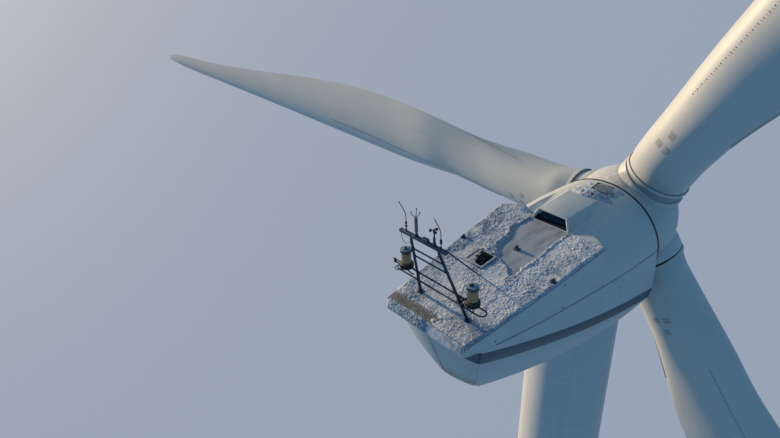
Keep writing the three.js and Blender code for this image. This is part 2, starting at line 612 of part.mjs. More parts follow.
const buildRods = (group) => {
  const above = (x, right, rear, height) => upright(at(x, BEAM_Y, SENSOR_Z), right, rear, height);
  [['left', -0.68, 0.59, -0.25, 0.83, [0.19, 0.29]],
    ['right', 0.59, 0.57, -0.21, 0.82, [0.21, 0.28]]].forEach(([name, x, bend, out, tip, knots]) => {
    const foot = above(x, 0, 0, SENSOR_FOOT);
    const points = [foot, above(x, 0, 0, bend - 0.06), above(x, -0.02, 0, bend), above(x, out, 0, tip)];
    const sleeves = knots.map((height) => bar(above(x, 0, 0, height - 0.02), above(x, 0, 0, height + 0.02), 0.026));
    addMesh(group, `lightning_rod_${name}`, join(sweep(points, ROD_RADIUS, 14), ...sleeves), 'steel');
  });
  const post = bar(above(PROBE_X, 0, 0, SENSOR_FOOT), above(PROBE_X, 0, 0, 0.6), 0.022);
  const head = bar(above(PROBE_X, 0, 0, 0.52), above(PROBE_X, 0, 0, 0.66), 0.042);
  const arms = [113, 233, 353].map((angle) => {
    const turn = deg(angle);
    const out = (radius, height) => above(PROBE_X, radius * Math.cos(turn), radius * Math.sin(turn), height);
    return sweep([out(0.02, 0.62), out(0.1, 0.64), out(0.15, 0.7), out(0.13, 0.8)], 0.011, 8);
  });
  addMesh(group, 'ultrasonic_sensor', join(post, head, ...arms), 'steel');
  const cupPost = bar(above(CUP_X, 0, 0, SENSOR_FOOT), above(CUP_X, 0, 0, CUP_HEIGHT - 0.09), 0.02);
  const pin = bar(above(CUP_X, 0, 0, CUP_HEIGHT - 0.12), above(CUP_X, 0, 0, CUP_HEIGHT + 0.02), 0.01);
  addMesh(group, 'cup_post', join(cupPost, pin), 'steel');
  const hub = cut(
    bar(above(CUP_X, 0, 0, CUP_HEIGHT - 0.055), above(CUP_X, 0, 0, CUP_HEIGHT + 0.05), 0.03),
    bar(above(CUP_X, 0, 0, CUP_HEIGHT - 0.1), above(CUP_X, 0, 0, CUP_HEIGHT + 0.03), 0.016));
  const cups = [0, 1, 2].map((i) => {
    const turn = deg(120 * i + 20);
    const out = (radius, along) => above(CUP_X,
      radius * Math.cos(turn) - along * Math.sin(turn),
      radius * Math.sin(turn) + along * Math.cos(turn), CUP_HEIGHT);
    const arm = bar(out(0.02, 0), out(0.1, 0), 0.008, 8);
    const cup = bar(out(0.11, -0.03), out(0.11, 0.035), 0.042, 12, 0.012);
    return join(arm, cup);
  });
  addMesh(group, 'cup_rotor', join(hub, ...cups), 'dark');
};

const buildLights = (group) => {
  SIDES.forEach(([name, side]) => {
    const lamp = at(side * LIGHT_X, LIGHT_Y, LIGHT_Z);
    const drum = (low, high, radius) => bar(
      upright(lamp, 0, 0, low), upright(lamp, 0, 0, high), radius, 32);
    addMesh(group, `light_${name}_base`, drum(-0.1, 0.09, 0.21), 'dark');
    addMesh(group, `light_${name}_lens`, drum(0.09 + FIT, 0.475, 0.145), 'lens');
    addMesh(group, `light_${name}_cap`, drum(0.475 + FIT, 0.59, 0.172), 'grey');
  });
};

// One blade, built along z with its leading edge on +x and the wind coming from -y
const ROOT_TWIST = 14.6;
const bladeSections = [
  // distance from the hub, chord, thickness share, twist in degrees, share of the chord ahead of the axis,
  // and how far the section lies behind the axis
  [ROOT_RING_TOP + 0.02, 2.27, 1.0, ROOT_TWIST, 0.5, 0.05],
  [2.8, 2.29, 1.0, ROOT_TWIST, 0.5, 0.22],
  [3.5, 2.3, 1.0, 14.0, 0.497, 0.25],
  [5.0, 2.46, 0.9, 12.4, 0.453, 0.23],
  [7.0, 2.89, 0.66, 11.2, 0.377, 0.215],
  [9.0, 3.33, 0.47, 11.3, 0.307, 0.21],
  [11.0, 3.76, 0.418, 10.1, 0.3, 0.22],
  [14.0, 4.07, 0.336, 6.8, 0.331, 0.15],
  [18.0, 3.98, 0.302, 3.4, 0.321, 0.11],
  [24.0, 3.5, 0.265, 1.0, 0.324, 0.125],
  [32.0, 2.66, 0.242, 0.0, 0.328, 0.2],
  [42.0, 1.81, 0.215, -0.4, 0.322, 0.32],
  [52.0, 1.32, 0.192, -0.6, 0.298, 0.3],
  [56.4, 0.79, 0.181, -0.7, 0.303, 0.2],
  [BLADE_TIP, 0.28, 0.17, -0.75, 0.35, 0.11],
];
const SECTION_POINTS = 28;

const bladeRing = ([z, chord, thickness, twist, ahead, behind = 0]) => {
  const round = smooth(thickness, 0.4, 1.0);
  const turn = deg(-(twist + REST_PITCH));
  return Array.from({ length: SECTION_POINTS }, (_, i) => {
    const angle = (i / SECTION_POINTS) * Math.PI * 2;
    const along = (1 - Math.cos(angle)) / 2;
    const foil = 5 * thickness * chord * (0.2969 * Math.sqrt(along) - 0.126 * along
      - 0.3516 * along ** 2 + 0.2843 * along ** 3 - 0.1016 * along ** 4);
    const camber = 0.03 * chord * Math.sin(Math.PI * along) * (1 - round);
    const x = chord * (ahead - along);
    const flat = Math.sign(Math.sin(angle)) * foil + camber;
    const y = mix(flat, Math.sin(angle) * chord * thickness / 2, round);
    return new THREE.Vector3(
      (x * Math.cos(turn) - y * Math.sin(turn)) * M,
      (x * Math.sin(turn) + y * Math.cos(turn) + behind) * M, z * M);
  });
};

const buildBlade = (group, name) => {
  const root = [
    [PITCH_PIN_RADIUS, COLLAR_FOOT + 0.05],
    [PITCH_PIN_RADIUS, SEAL_FOOT],
    [SEAL_RADIUS, SEAL_FOOT],
    [SEAL_RADIUS, ROOT_RING_FOOT],
    [ROOT_RADIUS, ROOT_RING_FOOT],
    [ROOT_RADIUS, ROOT_RING_TOP],
  ].map(([radius, z]) => bladeRing([z, 2 * radius, 1.0, ROOT_TWIST, 0.5]));
  addMesh(group, name, loft([...root, ...bladeSections.map(bladeRing)]), 'blade');
};

// The cup that a blade root turns in: a seat, and a thin lip whose end runs at a slope
const buildCollar = () => {
  const top = COLLAR_END + COLLAR_RADIUS * Math.tan(COLLAR_END_SLOPE) + 0.02;
  const cup = turned([
    [PITCH_BORE_RADIUS, COLLAR_FOOT], [COLLAR_RADIUS, COLLAR_FOOT], [COLLAR_RADIUS, COLLAR_SEAT],
    [COLLAR_MOUTH_RADIUS, top], [COLLAR_LIP_BORE, top], [COLLAR_LIP_BORE, COLLAR_SEAT],
    [PITCH_BORE_RADIUS, COLLAR_SEAT], [PITCH_BORE_RADIUS, COLLAR_FOOT],
  ], 60);
  const above = new THREE.BoxGeometry(4 * M, 4 * M, M).translate(0, 0, M / 2);
  above.rotateY(-COLLAR_END_SLOPE).translate(0, 0, COLLAR_END * M);
  return cut(cup, above);
};

const buildRotor = (group) => {
  const profile = [[0, -2.28], [0.45, -2.18], [0.85, -1.93], [1.2, -1.55], [1.47, -1.16], [1.69, -0.76],
    [1.86, -0.38], [1.97, 0], [1.98, 0.4], [1.94, 0.8], [1.89, 1.2], [1.86, SPINNER_BACK],
    [0, SPINNER_BACK]];
  const form = new THREE.LatheGeometry(
    profile.map(([radius, y]) => new THREE.Vector2(radius * M, y * M)), 60);
  const orient = (geometry, azimuth) => geometry.applyMatrix4(
    new THREE.Matrix4().makeRotationFromEuler(new THREE.Euler(CONE, azimuth - Math.PI / 2, 0, 'YXZ')));
  const azimuths = [0, 1, 2].map((i) => BLADE_AZIMUTH + i * Math.PI * 2 / 3);
  const bores = azimuths.map((azimuth) => orient(
    turned([[0, COLLAR_FOOT - FIT], [COLLAR_RADIUS + FIT, COLLAR_FOOT - FIT], [COLLAR_RADIUS + FIT, 4], [0, 4]]),
    azimuth));
  addMesh(group, 'spinner', cut(form, ...bores), 'shell');
  azimuths.forEach((azimuth, i) => {
    addMesh(group, `hub_collar_${i + 1}`, orient(buildCollar(), azimuth), 'shell');
    const holder = new THREE.Group();
    holder.rotation.set(CONE, azimuth - Math.PI / 2, 0, 'YXZ');
    buildBlade(holder, `blade_${i + 1}`);
    group.add(holder);
  });
  addMesh(group, 'main_shaft', bar(at(0, SPINNER_BACK + FIT, 0), at(0, SHAFT_END, 0), SHAFT_RADIUS, 48), 'steel');
};

const turbine = new THREE.Group();
buildTower(turbine);
buildFrame(machine);
buildSides(machine);
buildFloor(machine);
buildRoof(machine);
buildRearWall(machine);
buildCowl(machine);
buildFrontWall(machine);
buildHatches(machine);
buildLugs(machine);
buildMast(machine);
buildRods(machine);
buildLights(machine);
buildRotor(machine);
turbine.add(machine);

export default turbine;
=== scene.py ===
"""Finishes, snow and small fittings of a wind turbine nacelle with its hub, blades and tower top, 1:10."""
import logging
import math
from dataclasses import dataclass, field
from enum import Enum
from typing import Any, Callable, Iterable, Mapping, Sequence

import bpy
from mathutils import Matrix, Vector, noise


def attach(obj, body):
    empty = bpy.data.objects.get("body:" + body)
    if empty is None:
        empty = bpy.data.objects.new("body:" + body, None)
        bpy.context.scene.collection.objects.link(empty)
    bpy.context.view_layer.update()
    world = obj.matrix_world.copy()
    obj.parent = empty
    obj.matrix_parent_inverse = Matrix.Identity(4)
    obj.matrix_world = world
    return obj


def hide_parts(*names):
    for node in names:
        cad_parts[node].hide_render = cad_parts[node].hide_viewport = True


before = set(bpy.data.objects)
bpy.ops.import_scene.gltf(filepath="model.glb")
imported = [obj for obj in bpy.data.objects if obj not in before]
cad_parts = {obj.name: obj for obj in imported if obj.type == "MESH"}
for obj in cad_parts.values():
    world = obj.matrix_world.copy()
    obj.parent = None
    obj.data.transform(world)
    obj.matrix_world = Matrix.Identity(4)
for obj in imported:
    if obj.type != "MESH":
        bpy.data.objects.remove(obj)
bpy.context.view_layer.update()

log = logging.getLogger("nacelle")

Pair = tuple[float, float]
Triple = tuple[float, float, float]
Pairs = tuple[Pair, ...]
Triples = tuple[Triple, ...]
Colour = tuple[float, float, float, float]
Material = bpy.types.Material
Socket = bpy.types.NodeSocket

# Sizes below are metres of the full-size machine; the matrices bring them to the model's metres
SCALE = 0.1
TILT = math.radians(5.32)
CONE = math.radians(4.41)
FIRST_BLADE = math.radians(64.4)
REST_PITCH = 6.4
HUB = Vector((0.0, -0.3037, 1.8))
MACHINE = Matrix.Translation(HUB) @ Matrix.Rotation(-TILT, 4, "X") @ Matrix.Scale(SCALE, 4)
WORLD = Matrix.Scale(SCALE, 4)
# The noise of the snow starts from this number, so that every run gives the same lumps
SNOW_SEED = 7


def at(right: float, back: float, up: float) -> Vector:
    """Gives a point of the model from its place in the housing's own frame.

    Args:
        right: distance to the right of the middle, seen from behind.
        back: distance behind the hub along the shaft.
        up: height square to the roof, from the shaft.

    Returns:
        The point in the model's frame, in metres.
    """
    return MACHINE @ Vector((-right, back, up))


def upright(base: Triple, right: float, rear: float, height: float) -> Vector:
    """Moves from a point of the housing along the world's level and upright lines.

    Args:
        base: right, back and up of the starting point.
        right: level distance to the right.
        rear: level distance to the rear.
        height: distance straight up.

    Returns:
        The point in the model's frame, in metres.
    """
    return at(*base) + Vector((-right, rear, height)) * SCALE


def blade_frame(index: int) -> Matrix:
    """Gives the matrix of a blade's own frame, z along the blade and x towards its leading edge."""
    turn = FIRST_BLADE + index * math.tau / 3 - math.pi / 2
    return MACHINE @ Matrix.Rotation(turn, 4, "Y") @ Matrix.Rotation(CONE, 4, "X")


def linear(channel: int) -> float:
    """Turns one channel of 0 to 255 into linear light."""
    share = channel / 255
    return share / 12.92 if share <= 0.04045 else ((share + 0.055) / 1.055) ** 2.4


def srgb(red: int, green: int, blue: int) -> Colour:
    """Turns a colour of 0 to 255 a channel into linear light."""
    return linear(red), linear(green), linear(blue), 1.0


def smooth(value: float, low: float, high: float) -> float:
    """Rises smoothly from 0 at low to 1 at high."""
    share = min(1.0, max(0.0, (value - low) / (high - low)))
    return share * share * (3 - 2 * share)


def mix(first: float, second: float, share: float) -> float:
    """Goes straight from first to second as share goes from 0 to 1."""
    return first + (second - first) * share


def pairs(items: Sequence[Any]) -> Iterable[tuple[Any, Any]]:
    """Pairs each item of a closed loop with the next one."""
    return zip(items, [*items[1:], items[0]])


def circle(count: int, radius: float = 1.0, start: float = 0.0) -> list[Pair]:
    """Gives points evenly round a circle; start is the first one's place, in steps."""
    turns = [(step + start) / count * math.tau for step in range(count)]
    return [(radius * math.cos(turn), radius * math.sin(turn)) for turn in turns]


def angles(count: int, gap: float, first: float = 0.0) -> list[float]:
    """Gives a row of angles in radians from a gap and a first one in degrees."""
    return [math.radians(step * gap + first) for step in range(count)]


def shifted(x: float, y: float, z: float) -> Matrix:
    """Gives the machine's frame moved to a place of it."""
    return MACHINE @ Matrix.Translation((x, y, z))


class Value:
    """A number that varies over a surface, written with the signs of plain arithmetic."""

    def __init__(self, recipe: "Recipe", socket: Socket) -> None:
        """Wraps an output socket of a recipe's node."""
        self.recipe = recipe
        self.socket = socket

    def _math(self, operation: str, *terms: "Value | float") -> "Value":
        """Adds one Math node over the given terms."""
        return self.recipe.value("ShaderNodeMath", {"operation": operation}, dict(enumerate(terms)))

    def __add__(self, other: "Value | float") -> "Value":
        """self + other"""
        return self._math("ADD", self, other)

    __radd__ = __add__

    def __sub__(self, other: "Value | float") -> "Value":
        """self - other"""
        return self._math("SUBTRACT", self, other)

    def __rsub__(self, other: "Value | float") -> "Value":
        """other - self"""
        return self._math("SUBTRACT", other, self)

    def __mul__(self, other: "Value | float") -> "Value":
        """self * other"""
        return self._math("MULTIPLY", self, other)

    __rmul__ = __mul__

    def __truediv__(self, other: "Value | float") -> "Value":
        """self / other"""
        return self._math("DIVIDE", self, other)

    def size(self) -> "Value":
        """The value without its sign."""
        return self._math("ABSOLUTE", self)

    def least(self, other: "Value | float") -> "Value":
        """The smaller of two values."""
        return self._math("MINIMUM", self, other)

    def most(self, other: "Value | float") -> "Value":
        """The larger of two values."""
        return self._math("MAXIMUM", self, other)

    def fraction(self) -> "Value":
        """The part of the value after its point."""
        return self._math("FRACT", self)

    def sine(self) -> "Value":
        """The sine of the value."""
        return self._math("SINE", self)

    def band(self, low: float, high: float) -> "Value":
        """Rises smoothly from 0 at low to 1 at high, or falls where low is the larger.

        Args:
            low: the value that gives 0.
            high: the value that gives 1.

        Returns:
            The eased value.
        """
        settings = {"interpolation_type": "SMOOTHSTEP"}
        ends = {"From Min": min(low, high), "From Max": max(low, high)}
        if low > high:
            ends |= {"To Min": 1.0, "To Max": 0.0}
        return self.recipe.value("ShaderNodeMapRange", settings, {"Value": self} | ends)


class Recipe:
    """The node tree of one material, with the surface's own coordinates in full-size metres."""

    def __init__(self, name: str, space: Matrix = MACHINE) -> None:
        """Starts a material.

        Args:
            name: the material's name.
            space: the frame in which its pattern lies.
        """
        self.material = bpy.data.materials.new(name)
        self.material.use_nodes = True
        self.tree = self.material.node_tree
        self.tree.nodes.clear()
        self.shader = self.node("ShaderNodeBsdfPrincipled", {}, {})
        self.node("ShaderNodeOutputMaterial", {}, {0: self.shader.outputs[0]})
        self.space = space
        self._place: Socket | None = None

    def node(self, kind: str, settings: Mapping[str, object],
             inputs: Mapping[object, object]) -> bpy.types.Node:
        """Adds one node.

        Args:
            kind: the node's type.
            settings: its properties, or "stops" for a colour ramp, set before the sockets.
            inputs: a value, a Value or a socket for each input, by name or number.

        Returns:
            The new node.
        """
        made = self.tree.nodes.new(kind)
        for key, setting in settings.items():
            if key == "stops":
                ramp = made.color_ramp
                while len(ramp.elements) < len(setting):
                    ramp.elements.new(0.5)
                for element, (position, colour) in zip(ramp.elements, setting):
                    element.position = position
                    element.color = colour
            else:
                setattr(made, key, setting)
        for key, given in inputs.items():
            self.feed(made.inputs[key], given)
        return made

    def feed(self, socket: Socket, given: object) -> None:
        """Links or sets an input.

        Args:
            socket: the input.
            given: a Value or a socket to link, or a plain value to set.
        """
        if isinstance(given, Value):
            given = given.socket
        if isinstance(given, Socket):
            self.tree.links.new(given, socket)
        else:
            socket.default_value = given

    def value(self, kind: str, settings: Mapping[str, object], inputs: Mapping[object, object],
              output: int | str = 0) -> Value:
        """Adds one node and wraps one of its outputs."""
        return Value(self, self.node(kind, settings, inputs).outputs[output])

    def place(self) -> Socket:
        """Finds the surface point in the frame of the recipe.

        Returns:
            The point's socket, in full-size metres.
        """
        if self._place is None:
            inverse = self.space.inverted()
            move, turn, grow = inverse.decompose()
            point = self.node("ShaderNodeTexCoord", {}, {}).outputs["Object"]
            self._place = self.node("ShaderNodeMapping", {"vector_type": "POINT"}, {
                "Vector": point, "Location": move, "Rotation": turn.to_euler(), "Scale": grow,
            }).outputs[0]
        return self._place

    def split(self, vector: Socket) -> tuple[Value, Value, Value]:
        """The three parts of a vector as separate values."""
        parts = self.node("ShaderNodeSeparateXYZ", {}, {0: vector})
        return Value(self, parts.outputs[0]), Value(self, parts.outputs[1]), Value(self, parts.outputs[2])

    def axes(self) -> tuple[Value, Value, Value]:
        """The three coordinates of the surface point."""
        return self.split(self.place())

    def upward(self) -> Value:
        """How far the surface faces up at rest, 1 where it lies level."""
        return self.split(self.node("ShaderNodeTexCoord", {}, {}).outputs["Normal"])[2]

    def spread(self, stretch: Triple, shift: Triple = (0, 0, 0)) -> Socket:
        """The place, stretched along its axes so that a pattern is drawn out."""
        inputs = {"Vector": self.place(), "Scale": stretch, "Location": shift}
        return self.node("ShaderNodeMapping", {}, inputs).outputs[0]

    def cloud(self, scale: float, detail: float = 3, rough: float = 0.55, stretch: Triple = (1, 1, 1),
              shift: Triple = (0, 0, 0)) -> Value:
        """Soft noise between 0 and 1.

        Args:
            scale: features in a full-size metre.
            detail: octaves.
            rough: weight of the finer octaves.
            stretch: factors on the axes.
            shift: offset that gives another pattern.

        Returns:
            The noise as a value.
        """
        return self.value("ShaderNodeTexNoise", {}, {
            "Vector": self.spread(stretch, shift), "Scale": scale, "Detail": detail, "Roughness": rough})

    def grains(self, scale: float) -> Value:
        """Distance to the nearest of many scattered points, 0 in the middle of each grain."""
        inputs = {"Vector": self.spread((1, 1, 1)), "Scale": scale}
        return self.value("ShaderNodeTexVoronoi", {"feature": "F1"}, inputs, "Distance")

    def blend(self, first: object, second: object, share: Value | float) -> Socket:
        """Mixes two colours."""
        return self.node("ShaderNodeMix", {"data_type": "RGBA"}, {0: share, 6: first, 7: second}).outputs[2]

    def relief(self, height: Value, depth: float) -> None:
        """Feeds the shader's normal with a bump of the given depth in full-size metres."""
        bump = self.node("ShaderNodeBump", {}, {"Height": height, "Distance": depth * SCALE, "Strength": 1.0})
        self.feed(self.shader.inputs["Normal"], bump.outputs[0])

    def set(self, **sockets: object) -> None:
        """Sets or links the shader's sockets, with spaces in their names written as underscores."""
        for key, given in sockets.items():
            self.feed(self.shader.inputs[key.replace("_", " ")], given)


class Cover(Enum):
    """What lies on a painted surface."""

    CLEAN = "clean"
    RIME = "rime on what faces up"
    SNOW_SPECKS = "specks of snow near the hatch"
    ROOT_SNOW = "snow caught at a blade collar"
    REAR_MARKS = "slate corners and soot on the rear wall"


@dataclass(frozen=True)
class Finish:
    """A surface finish; each kind says how its recipe is written."""

    name: str
    slot: str = "shell_paint"

    def write(self, recipe: Recipe) -> None:
        """Fills the recipe."""
        raise NotImplementedError

    def material(self, space: Matrix = MACHINE, suffix: str = "") -> Material:
        """Gives the finish in a frame, and makes it only once.

        Args:
            space: the frame in which the pattern lies.
            suffix: an ending that tells it from the same finish in other frames.

        Returns:
            The material.
        """
        made = bpy.data.materials.get(self.name + suffix)
        if made is None:
            recipe = Recipe(self.name + suffix, space)
            self.write(recipe)
            made = recipe.material
        return made


SNOW_WHITE = srgb(230, 229, 229)
# Bluish tone painted into the snow's hollows as shade
SNOW_HOLLOW_SHADE = srgb(164, 178, 198)
# Blue-grey laid on the snow: partly ice, partly painted shade
ICE_AND_SHADE_BLUE = srgb(118, 136, 154)
SLATE = srgb(46, 84, 100)


@dataclass(frozen=True)
class HousingPaint(Finish):
    """Satin paint over laminate, with faint mottling, runs of dirt and the frost that lies on it."""

    tone: Colour = srgb(214, 214, 209)
    stain: Colour = srgb(176, 176, 168)
    cover: Cover = Cover.CLEAN
    gloss: float = 0.42
    runs: float = 0.5

    def write(self, recipe: Recipe) -> None:
        """Fills the recipe.

        Args:
            recipe: the node tree.
        """
        across, back, up = recipe.axes()
        cloud = recipe.cloud(0.7, 4, 0.6)
        run = recipe.cloud(5.0, 3, 0.6, stretch=(1, 1, 0.08)).band(0.52, 0.8)
        fine = recipe.cloud(26, 3, 0.6)
        dirt = (run * self.runs * 0.5 + cloud.band(0.5, 0.85) * 0.3 + fine.band(0.6, 0.9) * 0.12).least(1.0)
        colour = recipe.blend(self.tone, self.stain, dirt)
        rough = self.gloss + cloud * 0.16 + fine * 0.05
        height = fine * 0.25 + cloud * 0.5
        depth = 0.004
        frost: Value | None = None
        if self.cover is Cover.RIME:
            frost = recipe.upward().band(0.45, 0.95) * recipe.cloud(9, 5, 0.7).band(0.35, 0.7) * 0.55
        elif self.cover is Cover.SNOW_SPECKS:
            near = ((across + 0.1).size() * 0.9 + (back - 2.85).size() * 1.6).band(1.0, 0.5)
            frost = near * recipe.cloud(7, 5, 0.7).band(0.46, 0.56) * recipe.upward().band(0.4, 0.8)
        elif self.cover is Cover.ROOT_SNOW:
            away = (across + 0.12).size() + (back - 0.95).size() * 1.1 + (up - 1.93).size() * 1.6
            near = away.band(0.8, 0.5)
            frost = near * recipe.cloud(8, 4, 0.7).band(0.36, 0.46)
        elif self.cover is Cover.REAR_MARKS:
            reach = across.size() - 1.15
            above = (reach * 0.913 + 1.24 - up).band(-0.004, 0.004)
            below = (up + reach * 0.14 - 1.24).band(-0.004, 0.004)
            colour = recipe.blend(colour, SLATE, above * below)
            soot = up.band(0.3, -0.62) * recipe.cloud(3.4, 4, 0.7, stretch=(1, 1, 0.4)).band(0.32, 0.62)
            colour = recipe.blend(colour, srgb(74, 78, 78), soot * 0.7)
        if frost is not None:
            colour = recipe.blend(colour, SNOW_WHITE, frost)
            rough = rough * (1 - frost) + frost * 0.85
            height = height + frost * recipe.cloud(30, 4, 0.7) * 8
            depth = 0.01
        recipe.relief(height, depth)
        recipe.set(Base_Color=colour, Roughness=rough)


@dataclass(frozen=True)
class FrostedRoof(Finish):
    """Wet, icy laminate where the snow has slid off, grey with lengthwise smears."""

    def write(self, recipe: Recipe) -> None:
        """Fills the recipe.

        Args:
            recipe: the node tree.
        """
        smear = recipe.cloud(2.2, 4, 0.65, stretch=(1.6, 0.45, 1))
        grit = recipe.cloud(28, 4, 0.7)
        speck = recipe.grains(19).band(0.22, 0.1) * recipe.cloud(3.1, 2).band(0.45, 0.7)
        across, back, _ = recipe.axes()
        rear = back.band(9.6, 10.2)
        colour = recipe.blend(srgb(146, 152, 160), srgb(184, 189, 194), smear.band(0.3, 0.72))
        grimy = (grit.band(0.42, 0.72) * (0.15 + rear * 0.8)).least(1.0)
        colour = recipe.blend(colour, srgb(98, 96, 96), grimy)
        speck = (speck * 0.5 + recipe.cloud(26, 4, 0.85).band(0.47, 0.56) * rear * 1.2).least(1.0)
        colour = recipe.blend(colour, SNOW_WHITE, speck * 0.7)
        bare = across.band(-1.5, -0.1) * back.band(10.3, 10.75) * recipe.cloud(5, 4, 0.7).band(0.25, 0.5)
        colour = recipe.blend(colour, srgb(70, 74, 80), bare * 0.85)
        recipe.relief(grit * (0.2 + rear * 0.6) + smear * 0.6 + speck, 0.008)
        recipe.set(Base_Color=colour, Roughness=0.34 + smear * 0.3 + speck * 0.2)


@dataclass(frozen=True)
class SnowCrust(Finish):
    """Wind-packed snow: pale lumps with painted bluish shade in the hollows, and a fine grain."""

    crisp: float = 1.0

    def write(self, recipe: Recipe) -> None:
        """Fills the recipe.

        Args:
            recipe: the node tree.
        """
        lumps = recipe.cloud(11, 4, 0.65)
        grain = recipe.cloud(60, 3, 0.7)
        # The hollows between the lumps get a bluish tone: painted shade where the bump dips.
        colour = recipe.blend(SNOW_HOLLOW_SHADE, SNOW_WHITE, (lumps * 0.8 + grain * 0.3).band(0.35, 0.72))
        across, back, _ = recipe.axes()
        # Blue-grey patches of thin snow and a strip along the right edge: partly ice, partly painted shade.
        thin = recipe.cloud(1.15, 4, 0.6).band(0.46, 0.58) * recipe.cloud(7, 3, 0.7).band(0.34, 0.56)
        border = across.band(1.2, 1.75) * back.band(9.8, 9.0) * recipe.cloud(3.2, 4, 0.7).band(0.35, 0.6)
        colour = recipe.blend(colour, ICE_AND_SHADE_BLUE, (thin * 0.7 + border * 0.8).least(0.8))
        dusty = recipe.cloud(1.3, 3, shift=(9, 0, 0)).band(0.6, 0.8) * 0.45
        colour = recipe.blend(colour, srgb(196, 190, 182), dusty)
        recipe.relief(lumps * self.crisp + grain * 0.5 * self.crisp, 0.02)
        recipe.set(Base_Color=colour, Roughness=0.72 + grain * 0.2)


@dataclass(frozen=True)
class BandPaint(Finish):
    """The slate stripe along the sides, dusted and slightly worn."""

    def write(self, recipe: Recipe) -> None:
        """Fills the recipe.

        Args:
            recipe: the node tree.
        """
        cloud = recipe.cloud(1.1, 4, 0.6)
        run = recipe.cloud(6, 3, 0.6, stretch=(1, 1, 0.1))
        colour = recipe.blend(SLATE, srgb(68, 104, 118), (cloud * 0.6 + run * 0.5).band(0.4, 0.8))
        recipe.relief(recipe.cloud(30, 3) * 0.4 + cloud, 0.003)
        recipe.set(Base_Color=colour, Roughness=0.4 + cloud * 0.18)


@dataclass(frozen=True)
class TowerPaint(Finish):
    """Painted tower steel with weld seams at the can joints and faint runs below them."""

    can_height: float = 2.506
    first_joint: float = 0.123

    def write(self, recipe: Recipe) -> None:
        """Fills the recipe.

        Args:
            recipe: the node tree.
        """
        _, _, height = recipe.axes()
        share = (height - self.first_joint) / self.can_height
        seam = ((share + 0.5).fraction() - 0.5).size().band(0.006, 0.001)
        run = recipe.cloud(3.2, 3, 0.6, stretch=(1, 1, 0.03)).band(0.5, 0.8)
        cloud = recipe.cloud(0.5, 4)
        dirt = run * 0.4 + cloud.band(0.5, 0.9) * 0.35
        colour = recipe.blend(srgb(215, 215, 211), srgb(184, 184, 178), dirt)
        colour = recipe.blend(colour, srgb(176, 176, 171), seam * 0.5)
        recipe.relief(recipe.cloud(22, 3) * 0.3 + seam * 1.4, 0.006)
        recipe.set(Base_Color=colour, Roughness=0.42 + cloud * 0.15)


@dataclass(frozen=True)
class BladeGelcoat(Finish):
    """Blade gelcoat with a worn leading edge, lengthwise bond lines and small worn squares by the root."""

    slot: str = "blade_paint"
    squares: tuple[tuple[float, float], ...] = ()
    square_size: float = 0.26

    def write(self, recipe: Recipe) -> None:
        """Fills the recipe.

        Args:
            recipe: the node tree.
        """
        chord, thick, span = recipe.axes()
        cloud = recipe.cloud(0.45, 4, 0.6, stretch=(1, 1, 0.4))
        streak = recipe.cloud(4.5, 3, 0.6, stretch=(1, 1, 0.05)).band(0.5, 0.8)
        fine = recipe.cloud(24, 3, 0.65)
        dirt = streak * 0.28 + cloud.band(0.45, 0.85) * 0.3 + fine.band(0.62, 0.9) * 0.15
        colour = recipe.blend(srgb(216, 215, 209), srgb(178, 177, 169), dirt.least(1.0))
        rear = thick.band(0.1, 0.4)
        for x, z in self.squares:
            reach = (chord - x).size().most((span - z).size())
            inside = reach.band(self.square_size / 2 + 0.02, self.square_size / 2 - 0.02)
            worn = recipe.cloud(17, 3, 0.8, shift=(x * 7, 0, z)).band(0.36, 0.6)
            colour = recipe.blend(colour, srgb(122, 121, 117), inside * rear * (0.16 + worn * 0.55))
        edge = recipe.cloud(9, 4, 0.7, stretch=(1, 1, 0.3)).band(0.45, 0.75) * (chord - 0.9).band(0.0, 0.4)
        colour = recipe.blend(colour, srgb(160, 156, 146), edge * span.band(9, 14) * 0.5)
        recipe.relief(fine * 0.25 + cloud * 0.6, 0.004)
        recipe.set(Base_Color=colour, Roughness=0.4 + cloud * 0.16 + fine * 0.05, Coat_Roughness=0.3)


@dataclass(frozen=True)
class PipeSteel(Finish):
    """Dull galvanised steel gone dark, with hoar frost along the top of each pipe."""

    slot: str = "galvanised_steel"
    tone: Colour = srgb(26, 66, 90)
    frosty: float = 0.15

    def write(self, recipe: Recipe) -> None:
        """Fills the recipe.

        Args:
            recipe: the node tree.
        """
        spangle = recipe.grains(55).band(0.1, 0.6)
        cloud = recipe.cloud(5, 4, 0.6)
        light = tuple(min(1.0, channel * 1.9) for channel in self.tone[:3]) + (1.0,)
        colour = recipe.blend(self.tone, light, spangle * 0.15 + cloud.band(0.4, 0.8) * 0.15)
        frost = recipe.upward().band(0.5, 0.95) * recipe.cloud(14, 4, 0.7).band(0.4, 0.62) * self.frosty
        colour = recipe.blend(colour, SNOW_WHITE, frost)
        recipe.relief(cloud + recipe.cloud(70, 3) * (0.3 + frost * 2), 0.004)
        metal = 0.3 * (1 - frost)
        recipe.set(Base_Color=colour, Roughness=0.48 + cloud * 0.15 + frost * 0.2, Metallic=metal)


@dataclass(frozen=True)
class DarkRubber(Finish):
    """Black rubber or plastic with a grey bloom."""

    slot: str = "black_plastic"
    tone: Colour = srgb(20, 22, 26)
    frosty: float = 0.15

    def write(self, recipe: Recipe) -> None:
        """Fills the recipe.

        Args:
            recipe: the node tree.
        """
        cloud = recipe.cloud(9, 4, 0.65)
        frost = recipe.upward().band(0.6, 0.95) * recipe.cloud(24, 4, 0.7).band(0.5, 0.62) * self.frosty
        colour = recipe.blend(self.tone, srgb(52, 56, 62), cloud.band(0.45, 0.85) * 0.3)
        colour = recipe.blend(colour, SNOW_WHITE, frost)
        recipe.relief(cloud + recipe.cloud(60, 2) * 0.3, 0.003)
        recipe.set(Base_Color=colour, Roughness=0.5 + cloud * 0.2)


